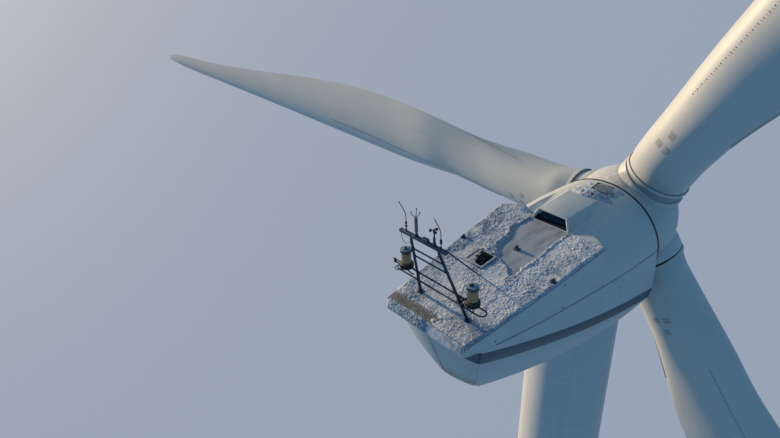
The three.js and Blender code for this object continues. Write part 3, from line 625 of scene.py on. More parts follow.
@dataclass(frozen=True)
class LampGlass(Finish):
    """Ribbed, tan lamp body with painted shade in the grooves between its ribs."""

    slot: str = "ribbed_lens"
    start: float = 0.13
    pitch: float = 0.0488

    def write(self, recipe: Recipe) -> None:
        """Fills the recipe.

        Args:
            recipe: the node tree.
        """
        _, _, up = recipe.axes()
        cloud = recipe.cloud(16, 3)
        groove = ((up - self.start) * (math.tau / self.pitch)).sine()
        # The grooves between the modelled ribs are darkened: painted shade in the recesses.
        dark = groove.band(0.1, -0.9) * 0.85 + cloud * 0.1
        colour = recipe.blend(srgb(248, 188, 124), srgb(88, 72, 60), dark)
        recipe.relief(cloud * 0.4, 0.003)
        recipe.set(Base_Color=colour, Roughness=0.34 + cloud * 0.2, Coat_Weight=0.3, Coat_Roughness=0.15)


@dataclass(frozen=True)
class IcedCap(Finish):
    """Grey lamp cap with a skin of ice on the flat top."""

    slot: str = "grey_panel"

    def write(self, recipe: Recipe) -> None:
        """Fills the recipe.

        Args:
            recipe: the node tree.
        """
        top = recipe.upward().band(0.5, 0.9)
        patch = recipe.cloud(11, 4, 0.7)
        colour = recipe.blend(srgb(56, 72, 82), srgb(112, 138, 150), top)
        colour = recipe.blend(colour, SNOW_WHITE, top * patch.band(0.5, 0.66) * 0.6)
        recipe.relief(patch * top, 0.01)
        recipe.set(Base_Color=colour, Roughness=0.35 + patch * 0.35)


@dataclass(frozen=True)
class HatchPane(Finish):
    """Glossy black roof hatch, partly under blown snow."""

    def write(self, recipe: Recipe) -> None:
        """Fills the recipe.

        Args:
            recipe: the node tree.
        """
        across, back, _ = recipe.axes()
        drift = (across - 0.56) * 1.7 + (back - 7.86) * 0.5
        flecks = recipe.cloud(15, 4, 0.75).band(0.6, 0.66) * 0.8
        patch = (recipe.cloud(6.5, 4, 0.7) + drift * 0.9).band(0.72, 0.78)
        patch = patch.most(flecks * (drift + 0.55).band(0.1, 0.6))
        top = recipe.upward().band(0.6, 0.9)
        snow = patch * top * (0.5 + recipe.cloud(28, 3).band(0.4, 0.6) * 0.45)
        colour = recipe.blend(srgb(4, 5, 8), srgb(196, 198, 204), snow)
        recipe.relief(snow * 2 + recipe.cloud(50, 3) * 0.2, 0.012)
        recipe.set(Base_Color=colour, Roughness=0.24 + snow * 0.6, Specular_IOR_Level=0.12)


@dataclass(frozen=True)
class TreadPlate(Finish):
    """Grey grip plate of the small cowl hatch, iced between its studs."""

    slot: str = "grey_panel"

    def write(self, recipe: Recipe) -> None:
        """Fills the recipe.

        Args:
            recipe: the node tree.
        """
        studs = recipe.grains(16).band(0.35, 0.15)
        cloud = recipe.cloud(6, 4, 0.7)
        colour = recipe.blend(srgb(150, 148, 146), srgb(52, 54, 58), studs * 0.9)
        colour = recipe.blend(colour, srgb(210, 210, 212), cloud.band(0.5, 0.66) * 0.55)
        recipe.relief(studs + cloud, 0.012)
        recipe.set(Base_Color=colour, Roughness=0.6 + cloud * 0.2)


@dataclass(frozen=True)
class CastIron(Finish):
    """Primed casting inside the housing and at the yaw bearing."""

    slot: str = "cast_frame"

    def write(self, recipe: Recipe) -> None:
        """Fills the recipe.

        Args:
            recipe: the node tree.
        """
        grain = recipe.cloud(20, 4, 0.7)
        cloud = recipe.cloud(1.8, 3)
        colour = recipe.blend(srgb(96, 102, 106), srgb(66, 70, 74), cloud.band(0.35, 0.75))
        recipe.relief(grain + cloud, 0.008)
        recipe.set(Base_Color=colour, Roughness=0.6 + grain * 0.2)


SHELL = HousingPaint("shell_paint_plain")
SHELL_TOP = HousingPaint("shell_paint_cowl", cover=Cover.SNOW_SPECKS, runs=0.25)
SHELL_REAR = HousingPaint("shell_paint_rear", tone=srgb(206, 206, 200), cover=Cover.REAR_MARKS, runs=1.0)
SPINNER_PAINT = HousingPaint("spinner_paint", cover=Cover.ROOT_SNOW, runs=0.2)
DUCT_PAINT = HousingPaint("duct_paint", tone=srgb(204, 209, 206), stain=srgb(180, 186, 188), gloss=0.5)
EDGE_ICE = HousingPaint("iced_edges", tone=srgb(222, 222, 220), stain=srgb(196, 198, 200),
                        cover=Cover.RIME, gloss=0.5)
LIP_PAINT = HousingPaint("lip_paint", tone=srgb(222, 228, 234), cover=Cover.RIME)
CURB_PAINT = HousingPaint("curb_paint", tone=srgb(176, 182, 188), cover=Cover.RIME)
SLEEVE = HousingPaint("root_sleeve", tone=srgb(172, 178, 180), stain=srgb(140, 148, 152), gloss=0.5)
FIN_PLASTIC = DarkRubber("fin_plastic", "blade_paint", tone=srgb(118, 112, 104), frosty=0.0)
STRIP_COAT = HousingPaint("edge_strip_coat", "blade_paint", tone=srgb(212, 204, 186),
                          stain=srgb(188, 180, 164))
# Near-black teal for the duct's inner walls: painted shade inside the mouth
DUCT_SHADE_LINING = DarkRubber("duct_lining_shade", tone=srgb(26, 40, 50), frosty=0.0)
ROOF = FrostedRoof("bare_roof")
CRUST = SnowCrust("snow_crust")
ICE_EDGE = SnowCrust("packed_edge_snow", crisp=0.45)
BAND = BandPaint("slate_band")
TOWER = TowerPaint("tower_paint_coat")
PIPE = PipeSteel("mast_pipe")
SHAFT_STEEL = PipeSteel("bright_shaft", tone=srgb(140, 146, 150), frosty=0.0)
RUBBER = DarkRubber("black_rubber")
CABLE = DarkRubber("cable_jacket", frosty=0.4)
LAMP_GLASS = LampGlass("lamp_glass")
CAP_ICE = IcedCap("iced_cap")
SENSOR_GREY = PipeSteel("sensor_housing", tone=srgb(112, 112, 106), frosty=0.3)
HATCH_PANE = HatchPane("hatch_pane")
TREAD = TreadPlate("tread_plate")
CAST = CastIron("primed_casting")


def show(name: str, data: bpy.types.ID) -> bpy.types.Object:
    """Puts a mesh, a light or a camera into the scene.

    Args:
        name: the object's name.
        data: what it shows.

    Returns:
        The new object.
    """
    made = bpy.data.objects.new(name, data)
    bpy.context.scene.collection.objects.link(made)
    return made


class Shape:
    """Points and faces of one piece, gathered from simple solids."""

    def __init__(self) -> None:
        """Starts empty."""
        self.points: list[Vector] = []
        self.faces: list[tuple[int, ...]] = []

    def add(self, points: Iterable[Vector], faces: Iterable[Sequence[int]]) -> "Shape":
        """Adds points and the faces between them.

        Args:
            points: points of the model.
            faces: corner numbers of each face, counted from the first of these points.

        Returns:
            The shape itself.
        """
        start = len(self.points)
        self.points.extend(points)
        self.faces.extend(tuple(start + index for index in face) for face in faces)
        return self

    def rings(self, rings: Sequence[Sequence[Vector]], caps: bool = True) -> "Shape":
        """Skins closed rings, one after the other.

        Args:
            rings: rings of equal length.
            caps: whether the two ends are closed.

        Returns:
            The shape itself.
        """
        count = len(rings[0])
        faces: list[tuple[int, ...]] = []
        for row in range(len(rings) - 1):
            low, high = row * count, (row + 1) * count
            faces.extend((low + i, low + j, high + j, high + i) for i, j in pairs(range(count)))
        if caps:
            faces.append(tuple(reversed(range(count))))
            faces.append(tuple(range((len(rings) - 1) * count, len(rings) * count)))
        return self.add([point for ring in rings for point in ring], faces)

    def pipe(self, path: Sequence[Vector], radius: float, sides: int = 10) -> "Shape":
        """Adds a round tube.

        Args:
            path: model points along its middle.
            radius: its radius in full-size metres.
            sides: corners of its cross-section.

        Returns:
            The shape itself.
        """
        reach = radius * SCALE
        side = (path[1] - path[0]).normalized().orthogonal().normalized()
        made = []
        for i, point in enumerate(path):
            heading = (path[min(i + 1, len(path) - 1)] - path[max(i - 1, 0)]).normalized()
            side = (side - heading * side.dot(heading)).normalized()
            other = heading.cross(side)
            made.append([point + (side * a + other * b) * reach for a, b in circle(sides)])
        return self.rings(made)

    def lathe(self, space: Matrix, profile: Sequence[Pair], sides: int = 40) -> "Shape":
        """Turns a profile of radius and height pairs about the z axis of a frame."""
        made = [[space @ Vector((x, y, up)) for x, y in circle(sides, radius)] for radius, up in profile]
        return self.rings(made)

    def slab(self, space: Matrix, centre: Triple, size: Triple, bevel: float = 0.006) -> "Shape":
        """Adds a box with chamfered edges.

        Args:
            space: the frame that its sides follow.
            centre: its middle in that frame.
            size: its whole length on each axis.
            bevel: width of the chamfer.

        Returns:
            The shape itself.
        """
        x, y, z = (whole / 2 for whole in size)
        cut = min(bevel, x * 0.6, y * 0.6, z * 0.6)

        def ring(grow: float, up: float) -> list[Vector]:
            """Gives the eight corners at one height.

            Args:
                grow: how far the outline lies outside the box.
                up: height over the middle.

            Returns:
                The corners as model points.
            """
            wide, deep = x + grow, y + grow
            corners = [(wide, deep - cut), (wide - cut, deep), (cut - wide, deep), (-wide, deep - cut),
                       (-wide, cut - deep), (cut - wide, -deep), (wide - cut, -deep), (wide, cut - deep)]
            return [space @ (Vector(centre) + Vector((a, b, up))) for a, b in corners]
        return self.rings([ring(-cut, -z), ring(0, cut - z), ring(0, z - cut), ring(-cut, z)])

    def make(self, name: str, finish: Finish, body: str = "nacelle", replaced: str = "",
             space: Matrix = MACHINE, suffix: str = "", crease: float = 35) -> None:
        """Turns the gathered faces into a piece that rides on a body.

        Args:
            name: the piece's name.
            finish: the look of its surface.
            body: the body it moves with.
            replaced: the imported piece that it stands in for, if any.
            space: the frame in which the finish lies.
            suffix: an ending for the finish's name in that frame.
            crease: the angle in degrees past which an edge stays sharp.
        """
        mesh = bpy.data.meshes.new(name)
        mesh.from_pydata(self.points, [], self.faces)
        mesh.validate()
        mesh.update()
        mesh.polygons.foreach_set("use_smooth", [True] * len(mesh.polygons))
        mesh.set_sharp_from_angle(angle=math.radians(crease))
        mesh.materials.append(finish.material(space, suffix))
        piece = show(name, mesh)
        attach(piece, body)
        if replaced:
            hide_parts(replaced)
        log.info("made %s: %d faces on %s", name, len(mesh.polygons), body)


def dress(node: str, finish: Finish, edge: float = 0.0, crease: float = 32, space: Matrix = MACHINE) -> None:
    """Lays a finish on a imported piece, joins its facets and softens its edges.

    Args:
        node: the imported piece's name.
        finish: the look of its surface.
        edge: width of the rounded edge in full-size metres, 0 for none.
        crease: the angle in degrees past which an edge counts as sharp.
        space: the frame in which the finish lies.
    """
    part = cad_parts[node]
    part.data.materials.clear()
    part.data.materials.append(finish.material(space))
    for name in ("custom_normal", "sharp_edge", "sharp_face"):
        layer = part.data.attributes.get(name)
        if layer is not None:
            part.data.attributes.remove(layer)
    part.data.polygons.foreach_set("use_smooth", [True] * len(part.data.polygons))
    weld = part.modifiers.new("join_facets", "WELD")
    weld.merge_threshold = 0.00001
    if edge:
        bevel = part.modifiers.new("soft_edge", "BEVEL")
        bevel.width = edge * SCALE
        bevel.segments = 2
        bevel.limit_method = "ANGLE"
        bevel.angle_limit = math.radians(crease)
        bevel.use_clamp_overlap = True
    split = part.modifiers.new("crease", "EDGE_SPLIT")
    split.split_angle = math.radians(crease)
    log.info("dressed %s with %s", node, finish.name)


Place = tuple[Triple, Triple]


@dataclass
class SnowSheet:
    """A layer of snow over part of the housing, as deep at each point as a rule says."""

    name: str
    columns: int
    rows: int
    ground: Callable[[float, float], Place]
    depth: Callable[[Triple], float]
    finish: Finish = CRUST
    deepest_cut: float = 0.012

    def build(self) -> None:
        """Makes the layer and leaves out what has no snow."""
        points: list[Vector] = []
        deep: list[float] = []
        for row in range(self.rows + 1):
            for column in range(self.columns + 1):
                foot, out = self.ground(column / self.columns, row / self.rows)
                amount = self.depth(foot)
                lift = max(amount, -self.deepest_cut)
                points.append(at(*(mix(base, base + way, lift) for base, way in zip(foot, out))))
                deep.append(amount)
        wide = self.columns + 1
        faces = []
        for row in range(self.rows):
            for column in range(self.columns):
                start = row * wide + column
                corners = (start, start + 1, start + wide + 1, start + wide)
                if max(deep[corner] for corner in corners) > 0:
                    faces.append(corners)
        used = sorted({corner for face in faces for corner in face})
        renumbered = {old: new for new, old in enumerate(used)}
        shape = Shape().add([points[old] for old in used], [[renumbered[c] for c in face] for face in faces])
        shape.make(self.name, self.finish, crease=180)


def lumps(right: float, back: float, up: float = 0.0) -> float:
    """Gives the shape of crumbled, frozen snow.

    Args:
        right: distance to the right of the middle.
        back: distance behind the hub.
        up: height, or any number that gives another pattern.

    Returns:
        A height between 0 and 1.
    """
    spot = Vector((right, back, up))
    wander = noise.noise_vector(spot * 5.0) * 0.04
    near = noise.voronoi((spot + wander) * 11.0)[0][0]
    small = noise.voronoi((spot - wander) * 23.0)[0][0]
    pebble = max(0.0, 1.0 - near * near * 2.6)
    grit = max(0.0, 1.0 - small * small * 2.6)
    return pebble * 0.4 + grit * 0.28 + (noise.noise(spot * 3.3) * 0.5 + 0.5) * 0.32


def patchy(right: float, back: float, scale: float, seed: float) -> float:
    """Slow noise between 0 and 1 for ragged borders."""
    return noise.fractal(Vector((right * scale, back * scale, seed)), 0.8, 2.1, 3) * 0.5 + 0.5


def edge_distance(outline: Sequence[Pair], x: float, y: float) -> float:
    """Measures how far a point lies from an outline.

    Args:
        outline: the corners of the closed outline.
        x: the point's first coordinate.
        y: its second coordinate.

    Returns:
        The distance, below 0 inside the outline.
    """
    inside = False
    best = math.inf
    for (ax, ay), (bx, by) in pairs(outline):
        if (ay > y) != (by > y) and x < (bx - ax) * (y - ay) / (by - ay) + ax:
            inside = not inside
        dx, dy = bx - ax, by - ay
        share = max(0.0, min(1.0, ((x - ax) * dx + (y - ay) * dy) / (dx * dx + dy * dy)))
        best = min(best, math.hypot(x - ax - dx * share, y - ay - dy * share))
    return -best if inside else best


@dataclass
class Housing:
    """The shell of the nacelle: painted panels, the stripe, seams and fasteners, and what is inside."""

    rim_y: float = 1.765
    roof_front_y: float = 5.18
    roof_rear_y: float = 10.97
    roof_front_z: float = 2.184
    roof_rear_z: float = 2.109
    half_curve: Triple = (2.165, -0.014, -0.0057)
    seam_curve: Triple = (0.19, 0.128, 0.0047)
    band_top_curve: Triple = (-1.55, 0.262, 0.0114)
    band_foot_curve: Triple = (-2.04, 0.265, 0.0112)
    foot_curve: Triple = (-2.5, 0.085, 0.014)
    dome_centre_curve: Triple = (0.193, 0.128, 0.0047)
    seam_span: Pair = (1.8, 9.95)
    seam_radius: float = 0.007
    fasteners: Pairs = (
        (9.96, 1.70), (7.8, -0.6), (7.18, 1.13), (7.12, 1.96), (4.18, 0.0), (10.05, 0.0))
    head_radii: Pair = (0.026, 0.015)
    seal_profile: Pairs = (
        (2.172, 1.70), (2.196, 1.715), (2.2, 1.745), (2.196, 1.772), (2.16, 1.79),
        (2.10, 1.79), (2.10, 1.70), (2.172, 1.70))
    rear_joint: Pairs = (
        (11.03, 1.78), (10.93, 1.58), (10.8, 1.1), (10.62, 0.35), (10.48, -0.12), (10.36, -0.5))
    dome_sections: tuple[tuple[float, float, float, float], ...] = (
        (1.765, 2.18, 2.18, 2.0), (2.2, 2.26, 2.185, 2.05), (2.75, 2.33, 2.18, 2.07),
        (3.4, 2.39, 2.165, 2.12), (4.1, 2.43, 2.14, 2.2), (4.7, 2.44, 2.11, 2.3), (5.03, 2.44, 2.09, 2.3))

    def curve(self, terms: Triple, back: float) -> float:
        """Follows one of the housing's long curves, a parabola that starts at the rim."""
        run = back - self.rim_y
        return terms[0] + terms[1] * run + terms[2] * run * run

    def half_width(self, back: float) -> float:
        """Half the housing's width at a distance behind the hub."""
        return self.curve(self.half_curve, back)

    def roof_height(self, back: float) -> float:
        """Height of the flat roof at a distance behind the hub."""
        share = (back - self.roof_front_y) / (self.roof_rear_y - self.roof_front_y)
        return mix(self.roof_front_z, self.roof_rear_z, share)

    def dome_height(self, right: float, back: float) -> float:
        """Gives the height of the cowl's dome, from the same sections as the solid.

        Args:
            right: distance to the right.
            back: distance behind the hub.

        Returns:
            The height above the shaft.
        """
        for first, second in zip(self.dome_sections, self.dome_sections[1:]):
            if back <= second[0]:
                break
        share = min(1.0, max(0.0, (back - first[0]) / (second[0] - first[0])))
        heights = []
        for y, crown, half, power in (first, second):
            raised = smooth(y, self.rim_y, self.rim_y + 1.6)
            centre = mix(0, self.curve(self.dome_centre_curve, y), raised)
            side = min(1.0, abs(right) / half)
            heights.append(centre + (crown - centre) * (1 - side ** power) ** (1 / power))
        return mix(heights[0], heights[1], share) - self.trough(right, back)

    def trough(self, right: float, back: float) -> float:
        """How far the dome lies lower beside the cooler's duct."""
        return 0.19 * (1 - smooth(abs(right), 0.85, 1.2)) * smooth(back, 3.3, 4.1)

    def crest(self, right: float) -> Pair:
        """Finds the crest where the cowl drops to the roof.

        Args:
            right: distance to the right.

        Returns:
            The crest's distance behind the hub and its height.
        """
        share = min(1.0, max(0.0, (2.08 - abs(right)) / 0.89))
        back = 5.15 - 0.25 * share
        return back, 2.19 + max(0.0, 0.183 * share - self.trough(right, back))

    def dress_panels(self) -> None:
        """Lays the paint on every panel and the casting finish on what is inside."""
        for side in ("left", "right"):
            for level in ("upper", "middle", "lower"):
                dress(f"side_{level}_{side}", SHELL, edge=0.006)
            dress(f"side_band_{side}", BAND, edge=0.004)
        dress("floor_pan", SHELL)
        dress("rear_wall", SHELL_REAR, edge=0.008, crease=40)
        dress("front_cowl", SHELL_TOP, crease=24)
        dress("front_wall", SHELL)
        dress("roof_panel", ROOF, edge=0.006)
        dress("rear_lip", LIP_PAINT, edge=0.012)
        dress("bedplate", CAST)
        dress("main_bearing", CAST)

    def build_fasteners(self) -> None:
        """Adds the round heads of the panel screws on both sides."""
        shape = Shape()
        washer, head = self.head_radii
        for back, up in self.fasteners:
            for side in (1, -1):
                reach = self.side_reach(back, up)
                space = self.outward(side, back, up)
                for low, high, radius in ((-0.02, 0.005, washer), (0, 0.014, head)):
                    start, end = reach + low, reach + high
                    shape.lathe(space, [(radius, start), (radius, end - 0.004), (radius * 0.8, end)], 14)
        shape.make("panel_fasteners", PIPE)

    def build_side_seams(self) -> None:
        """Adds the thin dark sealant in the long joint on each side."""
        shape = Shape()
        for side in (1, -1):
            path = []
            for step in range(41):
                back = mix(*self.seam_span, step / 40)
                reach = self.half_width(back) + mix(0.042, 0.022, smooth(back, 4.9, 5.2))
                path.append(at(side * reach, back, self.curve(self.seam_curve, back)))
            shape.pipe(path, self.seam_radius, 6)
        shape.make("side_seam_sealant", RUBBER)

    def side_reach(self, back: float, up: float) -> float:
        """Gives the distance of the side wall from the middle.

        Args:
            back: distance behind the hub.
            up: height above the shaft.

        Returns:
            The distance to the wall at that place.
        """
        half = self.half_width(back)
        line = self.curve(self.band_foot_curve, back)
        if up < line:
            foot = self.curve(self.foot_curve, back)
            inset = half - 0.3 - 0.54 * ((back - self.rim_y) / 8.25) ** 2
            return mix(inset, half - 0.05, (up - foot) / (line - foot))
        top = self.curve(self.band_top_curve, back)
        if up < top:
            return mix(half - 0.05, half + 0.025, (up - line) / (top - line))
        seam = self.curve(self.seam_curve, back)
        if up < seam:
            return mix(half + 0.025, half + 0.02, (up - top) / (seam - top))
        return mix(half + 0.02, half, (up - seam) / (self.roof_height(back) - seam))

    def outward(self, side: int, back: float, up: float) -> Matrix:
        """A frame whose z axis points out of the side wall and starts at the middle plane."""
        lean = math.radians(-90 if side > 0 else 90)
        return shifted(0, back, up) @ Matrix.Rotation(lean, 4, "Y")

    def build_seals(self) -> None:
        """Adds the black seal in the cowl's front edge and the thin joint down the rear wall."""
        space = MACHINE @ Matrix.Rotation(math.radians(-90), 4, "X")
        Shape().lathe(space, self.seal_profile, 160).make("rim_seal", RUBBER)
        path = [at(0.0, back + 0.001, up) for back, up in self.rear_joint]
        Shape().pipe(path, 0.006, 8).make("rear_wall_joint", RUBBER)

    def build(self) -> None:
        """Dresses the shell and adds its small parts."""
        self.dress_panels()
        self.build_fasteners()
        self.build_side_seams()
        self.build_seals()


@dataclass
class RoofSnow:
    """Everything white that lies on top of the housing."""

    housing: Housing
    bare: tuple[tuple[float, float], ...] = (
        (-0.63, 5.0), (-0.79, 5.84), (-0.64, 6.61), (-0.58, 7.0), (-0.43, 7.3), (-0.13, 7.47), (0.22, 7.68),
        (0.60, 7.86), (0.68, 7.12), (0.66, 6.93), (0.62, 6.06), (0.7, 5.0))
    hatch: Triple = (-0.605, 7.91, 0.39)
    posts: Triples = (
        (-0.03, 6.83, 0.16), (-1.74, 7.42, 0.13), (1.74, 7.43, 0.13),
        (-0.926, 10.172, 0.14), (0.926, 10.172, 0.14))
    ramp_foot: float = 5.177
    lip_half: float = 1.478
    lip_roll: float = 0.2

    def roof_ground(self, across: float, along: float) -> Place:
        """Finds a point of the roof or of the ramp before it.

        Args:
            across: share of the way from left to right.
            along: share of the way from front to rear.

        Returns:
            The point, and the direction in which the snow grows.
        """
        share = across * 2 - 1
        crest_y, _ = self.housing.crest(share * 2.05)
        start = crest_y + 0.015 if share < -0.37 else 5.185
        back = mix(start, 10.955, along)
        half = self.housing.half_width(back) - 0.012
        right = share * half
        up = self.housing.roof_height(back)
        if back < self.ramp_foot:
            crest_y, crest_z = self.housing.crest(right)
            up = mix(crest_z, 2.192, max(0.0, back - crest_y) / max(0.02, self.ramp_foot - crest_y))
        return (right, back, up + 0.001), (0, 0, 1)

    def roof_depth(self, foot: Triple) -> float:
        """Gives the depth of the crust on the roof.

        Args:
            foot: right, back and up of the point.

        Returns:
            The depth, below 0 where nothing lies.
        """
        right, back, _ = foot
        ragged = (patchy(right, back, 2.4, 1.0) - 0.5) * 0.22 + (patchy(right, back, 9.0, 4.0) - 0.5) * 0.1
        near = edge_distance(self.bare, right, back)
        cover = smooth(near + ragged, 0.0, 0.16)
        thin = smooth(back, 10.35, 10.62) * (1 - smooth(right + ragged * 2, 0.1, 0.55))
        cover *= 1 - 0.78 * thin
        calm = smooth(right, 1.25, 1.75) * 0.55
        calm = max(calm, smooth(back, 9.6, 10.3) * smooth(right, 0.5, 1.1) * 0.75)
        calm = max(calm, 1 - smooth(math.hypot(right - 0.15, back - 8.15), 0.25, 0.6))
        calm = max(calm, 0.5 * (1 - smooth(back, 5.2, 5.5)), 0.45 * smooth(back, 8.6, 9.6))
        calm = max(calm, 0.85 * smooth(patchy(right, back, 0.62, 21.0), 0.52, 0.66))
        rough = mix(1.0, 0.3, calm)
        x, y, half = self.hatch
        outside = max(abs(right - x), abs(back - y)) - half
        cover *= smooth(outside + ragged * 0.3, -0.02, 0.05)
        for px, py, radius in self.posts:
            cover *= smooth(math.hypot(right - px, back - py), radius * 0.5, radius)
        rim = min(self.housing.half_width(back) - abs(right), 11.02 - back)
        edge = smooth(rim, 0.0, 0.09)
        swell = patchy(right, back, 1.0, 8.0) * 0.06
        ridge = 0.028 * math.exp(-((near - 0.1) / 0.06) ** 2) * smooth(right, 0.2, 0.5)
        ridge *= 1 - smooth(back, 7.2, 7.8)
        fine = noise.noise(Vector((right, back, 5.0)) * 31) * 0.5 + 0.5
        crumble = mix(0.45, 1.35, patchy(right, back, 1.3, 12.0))
        amount = 0.002 + swell + ridge + rough * crumble * (0.04 * lumps(right, back) + 0.007 * fine)
        gate = cover - (1 - lumps(right, back, 3.0)) * 0.35 * (1 - cover)
        return (amount * edge + 0.004) * smooth(gate, 0.0, 0.5) - 0.02 * (1 - smooth(gate, 0.0, 0.25))

    def dome_ground(self, across: float, along: float) -> Place:
        """Finds a point of the cowl's dome around the small hatch.

        Args:
            across: share of the way from left to right.
            along: share of the way from front to rear.

        Returns:
            The point, and the direction in which the snow grows.
        """
        right = mix(-1.05, 1.2, across)
        back = mix(1.95, 3.45, along)
        return (right, back, self.housing.dome_height(right, back)), (right * 0.25, 0, 1)

    def dome_depth(self, foot: Triple) -> float:
        """Gives the depth of the snow blown around the small hatch of the cowl.

        Args:
            foot: right, back and up of the point.

        Returns:
            The depth, below 0 where nothing lies.
        """
        right, back, _ = foot
        reach = max(abs(right - 0.23) - 0.33, abs(back - 2.4) - 0.24)
        ring = 1 - smooth(reach, 0.1, 0.55)
        behind = smooth(back, 2.35, 2.7) * (1 - smooth(back, 3.1, 3.3))
        behind *= 1 - smooth(abs(right - 0.12), 0.45, 0.8)
        cover = max(ring * 0.5, behind) * smooth(reach, -0.01, 0.02)
        cover *= smooth(3.3 - 0.38 * abs(right) - back, 0.0, 0.05)
        gate = cover + (patchy(right, back, 3.6, 2.0) - 0.5) * 1.1 - 0.42
        amount = 0.008 + 0.055 * lumps(right * 0.8, back * 0.8) * smooth(gate, 0.0, 0.35)
        return amount * smooth(gate, 0.0, 0.1) - 0.02 * (1 - smooth(gate, 0.0, 0.08))

    def lip_ground(self, across: float, along: float) -> Place:
        """Finds a point of the lip behind the roof, rolled over its upper edge.

        Args:
            across: share of the way from left to right.
            along: share of the way from front to rear.

        Returns:
            The point, and the direction in which the snow grows.
        """
        right = (across * 2 - 1) * self.lip_half
        if along < self.lip_roll:
            share = along / self.lip_roll
            back, up, turn = mix(10.93, 10.972, share), 2.111, share * 28
        else:
            share = (along - self.lip_roll) / (1 - self.lip_roll)
            back, up = mix(10.974, 11.118, share), mix(2.107, 1.885, share)
            turn = mix(40, 56, min(1.0, share * 4))
        lean = math.radians(turn)
        return (right, back, up), (0, math.sin(lean), math.cos(lean))

    def lip_depth(self, foot: Triple) -> float:
        """Gives the depth of the snow on the rear lip, thick on the left and a thin skin on the right.

        Args:
            foot: right, back and up of the point.

        Returns:
            The depth, below 0 where nothing lies.
        """
        right, back, up = foot
        left = 1 - smooth(right + (patchy(right, up, 1.6, 6.0) - 0.5) * 0.5, -0.3, 0.35)
        lump = lumps(right, back * 2, up * 2)
        ends = smooth(self.lip_half - abs(right), 0.0, 0.06)
        bulge = math.exp(-((right + 0.15) / 0.22) ** 2) * 0.045
        rise = smooth(up, 1.87, 1.95) * 0.7 + 0.3
        return (0.008 + left * (0.014 + 0.026 * lump) + bulge * lump) * ends * rise

    def build(self) -> None:
        """Makes the three layers."""
        SnowSheet("roof_snow", 262, 372, self.roof_ground, self.roof_depth).build()
        SnowSheet("cowl_snow", 110, 76, self.dome_ground, self.dome_depth).build()
        SnowSheet("lip_snow", 280, 26, self.lip_ground, self.lip_depth, ICE_EDGE).build()


